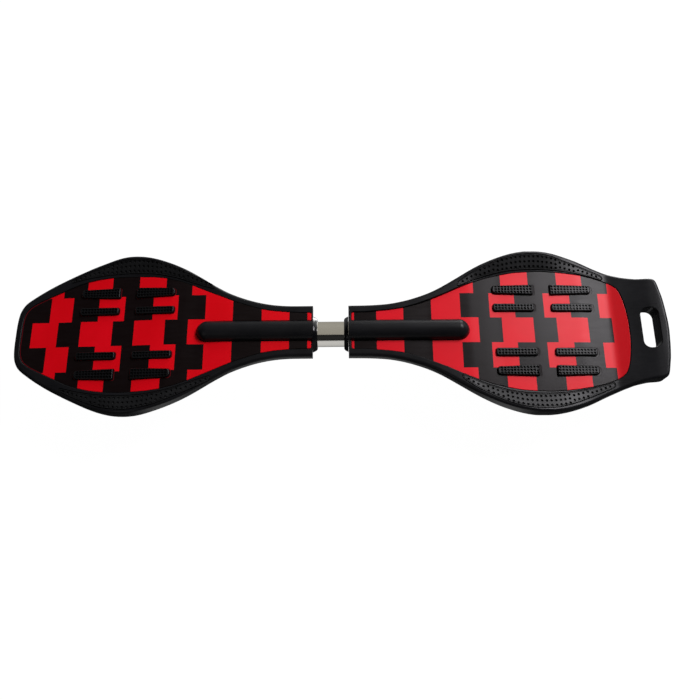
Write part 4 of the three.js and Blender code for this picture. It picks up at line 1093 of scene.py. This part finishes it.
def fork_solid():
    leg = [[-13.5, -8.9], [15.2, -8.9], [17.0, -11.0], [28.6, -33.5]]
    for a in np.linspace(0.42, -math.pi * 0.80, 18):
        leg.append([TRAIL + 10.5 * math.cos(a), -DROP + 10.5 * math.sin(a)])
    leg += [[-8.0, -34.0], [-12.6, -24.0], [-14.0, -16.0]]
    ops = []
    loop = Free(leg)
    sides = []
    for s in (1, -1):
        lv = [(0.7, 14.5), (0.2, 14.7), (0.0, 15.2), (0.0, 16.6), (0.25, 17.2), (0.8, 17.5)]
        k = stack([loop.ring(d, z) for d, z in lv], "ngon")
        v = k.v[:, [0, 2, 1]] * [1, s, 1]
        sides.append(Solid(v, k.f))
    crown = prism(rounded(-17.5, 16.5, -17.5, 17.5, 5.5, 6), [(0.5, -12.4), (0, -11.9), (0, -9.4), (0.5, -8.9)])
    body = combine(crown, [("add", sides[0]), ("add", sides[1])])
    for s in (1, -1):
        boss = revolve([(0, 11.8), (6.2, 11.8), (6.6, 12.2), (6.6, 15.5), (0, 15.5)], 40)
        v = boss.v[:, [0, 2, 1]] * [1, s, 1] + [TRAIL, 0, -DROP]
        ops.append(("add", Solid(v, boss.f)))
    ops.append(("cut", revolve([(0, -30), (4.3, -30), (4.3, 0), (0, 0)], 40)))
    ax = revolve([(0, -40), (4.3, -40), (4.3, 40), (0, 40)], 40)
    ops.append(("cut", Solid(ax.v[:, [0, 2, 1]] + [TRAIL, 0, -DROP], ax.f)))
    # lightening hole in each leg
    hole = revolve([(0, -40), (4.2, -40), (4.2, 40), (0, 40)], 40)
    ops.append(("cut", Solid(hole.v[:, [0, 2, 1]] + [7.5, 0, -27.0], hole.f)))
    return combine(body, ops)


tyre, hub, race, spacer = wheel_parts()
fork = fork_solid()
plate = prism(rounded(-27, 27, -27, 27, 8, 8), [(0.35, -3.3), (0, -3.0), (0, -0.75), (0.45, -0.3)])
plate = combine(plate, [("cut", revolve([(0, -9), (4.3, -9), (4.3, 3), (0, 3)], 40))] + [
    ("cut", revolve([(0, -9), (2.6, -9), (2.6, 3), (0, 3)], 28).moved(a, b, 0)) for a, b in SCREWS] + [
    ("add", revolve([(13.6, -3.2), (16.9, -3.2), (16.5, -3.75), (14.0, -3.75)], 64))])
kingpin = combine(bolt(-19, 1.0, 4.0), [("add", hexagon(6.5, 0.0, 5.2))])
kingnut = hexagon(6.5, -8.9 - 3.5 - 0.3 - 5.6, -8.9 - 3.5 - 0.3, 4.2)
thrust = revolve([(4.9, -8.5), (14.6, -8.5), (15.0, -8.2), (15.0, -7.0), (14.7, -6.8), (13.9, -6.8), (13.6, -6.5), (13.6, -5.6),
                  (13.9, -5.35), (14.7, -5.35), (15.0, -5.1), (15.0, -4.1), (14.6, -3.85), (4.9, -3.85)], 72)
screw = combine(revolve([(0, -6.1), (1.6, -6.05), (2.9, -5.75), (3.8, -5.2), (4.3, -4.45), (4.4, -3.7), (4.4, -3.62), (2.2, -3.6),
                         (2.2, 9.6), (0.6, 10.8), (0, 10.8)], 40),
                [("cut", block(-2.4, 2.4, -0.55, 0.55, -8, -4.9)), ("cut", block(-0.55, 0.55, -2.4, 2.4, -8, -4.85))])
out = 14.5 + 3 + 0.3
axle_head = combine(bolt(-out - 7.2, out + 1, 4.0), [
    ("add", revolve([(0, out), (6.4, out), (6.8, out + 0.4), (6.8, out + 1.2), (6.4, out + 2.6), (5.6, out + 3.6), (4.6, out + 4.0),
                     (0, out + 4.0)], 48)),
    ("cut", prism(polygon(6, 2.9), [(0, out + 1.6), (0, out + 9)]))])
axle_nut = combine(hexagon(6.5, -out - 5.0, -out, 4.2), [
    ("add", revolve([(4.2, -out - 6.4), (5.2, -out - 6.4), (5.7, -out - 5.9), (5.9, -out - 4.6), (4.2, -out - 4.6)], 40)),
    ("add", revolve([(4.25, -out - 0.9), (6.9, -out - 0.9), (7.2, -out - 0.6), (7.2, -out), (4.25, -out)], 48))])

for side in ("nose", "tail"):
    m = caster_matrix(side)
    ax = m @ np.array(Matrix.Translation((TRAIL, 0, -DROP)))
    axy = ax @ Y_AXIS
    deck, carrier, wheel = side + "_deck", side + "_caster", side + "_wheel"
    piece(side + "_plate", plate, deck, [M["zinc"]], side + "_mount_plate", matrix=m)
    for i, (a, b) in enumerate(SCREWS):
        spot = m @ np.array(Matrix.Translation((a, b, 0))) @ np.array(Matrix.Rotation(0.4 + 0.7 * i, 4, "Z"))
        piece(f"{side}_screw_{i + 1}", screw, deck, [M["zinc"]], f"{side}_plate_screw_{i + 1}", matrix=spot)
    piece(side + "_king_bolt", kingpin, deck, [M["zinc"]], side + "_kingpin", matrix=m)
    piece(side + "_king_nut", kingnut, deck, [M["zinc"]], side + "_kingpin_nut", matrix=m)
    piece(side + "_thrust_races", thrust, carrier, [M["bearing"]], side + "_thrust_bearing", matrix=m, angle=35)
    piece(side + "_fork_v", fork, carrier, [M["paint"]], side + "_fork", matrix=m)
    piece(side + "_axle", axle_head, carrier, [M["zinc"]], side + "_axle_bolt", matrix=axy)
    piece(side + "_axle_locknut", axle_nut, carrier, [M["zinc"]], side + "_axle_nut", matrix=axy)
    piece(side + "_spacer", spacer, carrier, [M["steel"]], side + "_bearing_spacer", matrix=axy)
    piece(side + "_tyre", tyre, wheel, [M["tyre_" + side]], side + "_wheel_tyre", matrix=axy, angle=40)
    piece(side + "_hub", hub, wheel, [M["hub"]], side + "_wheel_hub", matrix=axy, angle=35)
    for hand, z in (("right", 4.5), ("left", -11.5)):
        piece(f"{side}_bearing_{hand}", race, wheel, [M["bearing"]], f"{side}_wheel_bearing_{hand}",
              matrix=axy @ np.array(Matrix.Translation((0, 0, z))))

# pieces inside the tunnel keep their shape and get their finish
for name, mat in (("torsion_rod", "steel"), ("nose_end_plug", "plug"), ("tail_end_plug", "plug"),
                  ("nose_clamp_bolt", "zinc"), ("nose_plug_bolt", "zinc"), ("tail_stop_bolt", "zinc"), ("tail_plug_bolt", "zinc")):
    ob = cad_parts[name]
    ob.data.materials.clear()
    ob.data.materials.append(M[mat])

# ------------------------------------------------------------ camera and stage
t, roll, yaw = math.radians(18.99), -0.0093, 0.0021
fwd = np.array([0, math.sin(t), -math.cos(t)])
up = np.array([0, math.cos(t), math.sin(t)])
right = np.array([1.0, 0, 0])
fwd2 = fwd * math.cos(yaw) + right * math.sin(yaw)
right2 = right * math.cos(yaw) - fwd * math.sin(yaw)
r3 = right2 * math.cos(roll) + up * math.sin(roll)
u3 = up * math.cos(roll) - right2 * math.sin(roll)
cam_data = bpy.data.cameras.new("camera")
cam_data.sensor_width = 36.0
cam_data.lens = 753.41 / 700 * 36.0
cam_data.clip_start, cam_data.clip_end = 0.01, 50
cam = bpy.data.objects.new("camera", cam_data)
bpy.context.scene.collection.objects.link(cam)
rot = Matrix((r3, u3, -fwd2)).transposed()
cam.matrix_world = Matrix.Translation((0.00926, -0.3484, 1.03382)) @ rot.to_4x4()
bpy.context.scene.camera = cam


def area(name, where, aim, size, power, color=(1, 1, 1)):
    data = bpy.data.lights.new(name, "AREA")
    data.shape = "RECTANGLE"
    data.size, data.size_y = size
    data.energy = power
    data.color = color
    ob = bpy.data.objects.new(name, data)
    bpy.context.scene.collection.objects.link(ob)
    ob.location = where
    ob.rotation_euler = (Vector(aim) - Vector(where)).to_track_quat("-Z", "Y").to_euler()
    ob.visible_camera = False
    return ob


# one large level softbox over the right rear, and a weak fill from the left front
area("softbox", (1.45, 1.25, 2.1), (1.45, 1.25, 0.0), (1.0, 1.4), 94, (0.98, 0.96, 1.0))
area("fill", (-1.2, -1.3, 1.5), (-0.25, 0.0, 0.1), (1.1, 0.8), 3)

world = bpy.data.worlds.new("studio")
bpy.context.scene.world = world
world.use_nodes = True
wt = world.node_tree
bg = wt.nodes["Background"]


def wnew(kind, **props):
    n = wt.nodes.new(kind)
    for k, v in props.items():
        setattr(n, k, v)
    return n


def wput(socket, v):
    if isinstance(v, bpy.types.NodeSocket):
        wt.links.new(v, socket)
    else:
        socket.default_value = v


def wmath(op, a, b=None):
    n = wnew("ShaderNodeMath", operation=op)
    wput(n.inputs[0], a)
    if b is not None:
        wput(n.inputs[1], b)
    return n.outputs[0]


def wrange(v, a, b, lo, hi):
    n = wnew("ShaderNodeMapRange", interpolation_type="SMOOTHSTEP")
    for k, q in zip(("Value", "From Min", "From Max", "To Min", "To Max"), (v, a, b, lo, hi)):
        wput(n.inputs[k], q)
    return n.outputs["Result"]


def wramp(v, stops):
    """stops: (degrees from overhead, positive towards +Y; colour)"""
    n = wnew("ShaderNodeValToRGB")
    el = n.color_ramp.elements
    stops = [((a + 180) / 360, c if isinstance(c, tuple) else (c, c, c)) for a, c in stops]
    el[0].position, el[0].color = stops[0][0], stops[0][1] + (1,)
    el[1].position, el[1].color = stops[-1][0], stops[-1][1] + (1,)
    for q, c in stops[1:-1]:
        e = el.new(q)
        e.color = c + (1,)
    wput(n.inputs[0], v)
    return n.outputs[0]


def wmix(f, a, b, blend="MIX"):
    n = wnew("ShaderNodeMix", data_type="RGBA", blend_type=blend)
    for i, v in ((0, f), (6, a), (7, b)):
        wput(n.inputs[i], v)
    return n.outputs[2]


tc = wnew("ShaderNodeTexCoord")
sep = wnew("ShaderNodeSeparateXYZ")
wput(sep.inputs[0], tc.outputs["Generated"])
wx, wy, wz = sep.outputs
turn = wmath("ADD", wmath("DIVIDE", wmath("ARCTAN2", wy, wz), 2 * math.pi), 0.5)
# dark overhead, a pale wall behind that is brighter on the right
wall = wramp(turn, [(-180, 0.02), (-150, 0.03), (-115, 0.10), (-90, 0.16), (-72, 0.05), (-45, 0.015), (0, 0.012), (35, 0.03),
                    (58, 0.35), (75, 0.9), (105, 1.0), (130, 0.7), (155, 0.15), (180, 0.02)])
right = wmath("MULTIPLY", wrange(wx, 0.08, 0.30, 0.0, 9.0), wrange(wy, 0.0, 0.2, 0.0, 1.0))
right = wmath("MULTIPLY", right, wrange(wx, 0.36, 0.52, 1.0, 0.05))
tone = wmath("ADD", wrange(wx, -0.25, 0.10, 0.32, 0.9), right)
# a narrow strip of paper runs over the middle: beige behind and overhead, white in front
paper = wramp(turn, [(-180, 0.25), (-160, 0.55), (-135, 0.85), (-100, 0.95), (-80.5, 0.85), (-79, 0.02), (-50, 0.035), (-24, 0.02),
                     (-22, (0.50, 0.475, 0.42)), (60, (0.55, 0.53, 0.47)), (120, (0.50, 0.48, 0.43)), (150, 0.3), (180, 0.25)])
light = wmix(wrange(wmath("ABSOLUTE", wx), 0.075, 0.11, 1.0, 0.0), wmix(1.0, wall, tone, "MULTIPLY"), paper)
lp = wnew("ShaderNodeLightPath")
wput(bg.inputs["Color"], wmix(lp.outputs["Is Camera Ray"], light, (1.0, 1.0, 1.0, 1.0)))
bg.inputs["Strength"].default_value = 1.0

# pale floor, lit from within like a light table
fm = bpy.data.meshes.new("floor")
fm.from_pydata([(-14, -14, 0), (14, -14, 0), (14, 14, 0), (-14, 14, 0)], [], [(0, 1, 2, 3)])
floor = bpy.data.objects.new("floor", fm)
bpy.context.scene.collection.objects.link(floor)
fn = Nodes("pale_floor")
fn.set(color=fn.mix(fn.noise(0.8, 2.0), rgb(0.05, 0.05, 0.05), rgb(0.06, 0.06, 0.06)), rough=0.9, spec=0.0)
fn.bsdf.inputs["Emission Color"].default_value = (1, 1, 1, 1)
fn.bsdf.inputs["Emission Strength"].default_value = 0.99
fm.materials.append(fn.mat)
floor.location.z = -0.0004
floor.visible_glossy = False

bpy.context.scene.view_settings.view_transform = "Standard"
bpy.context.scene.view_settings.look = "None"
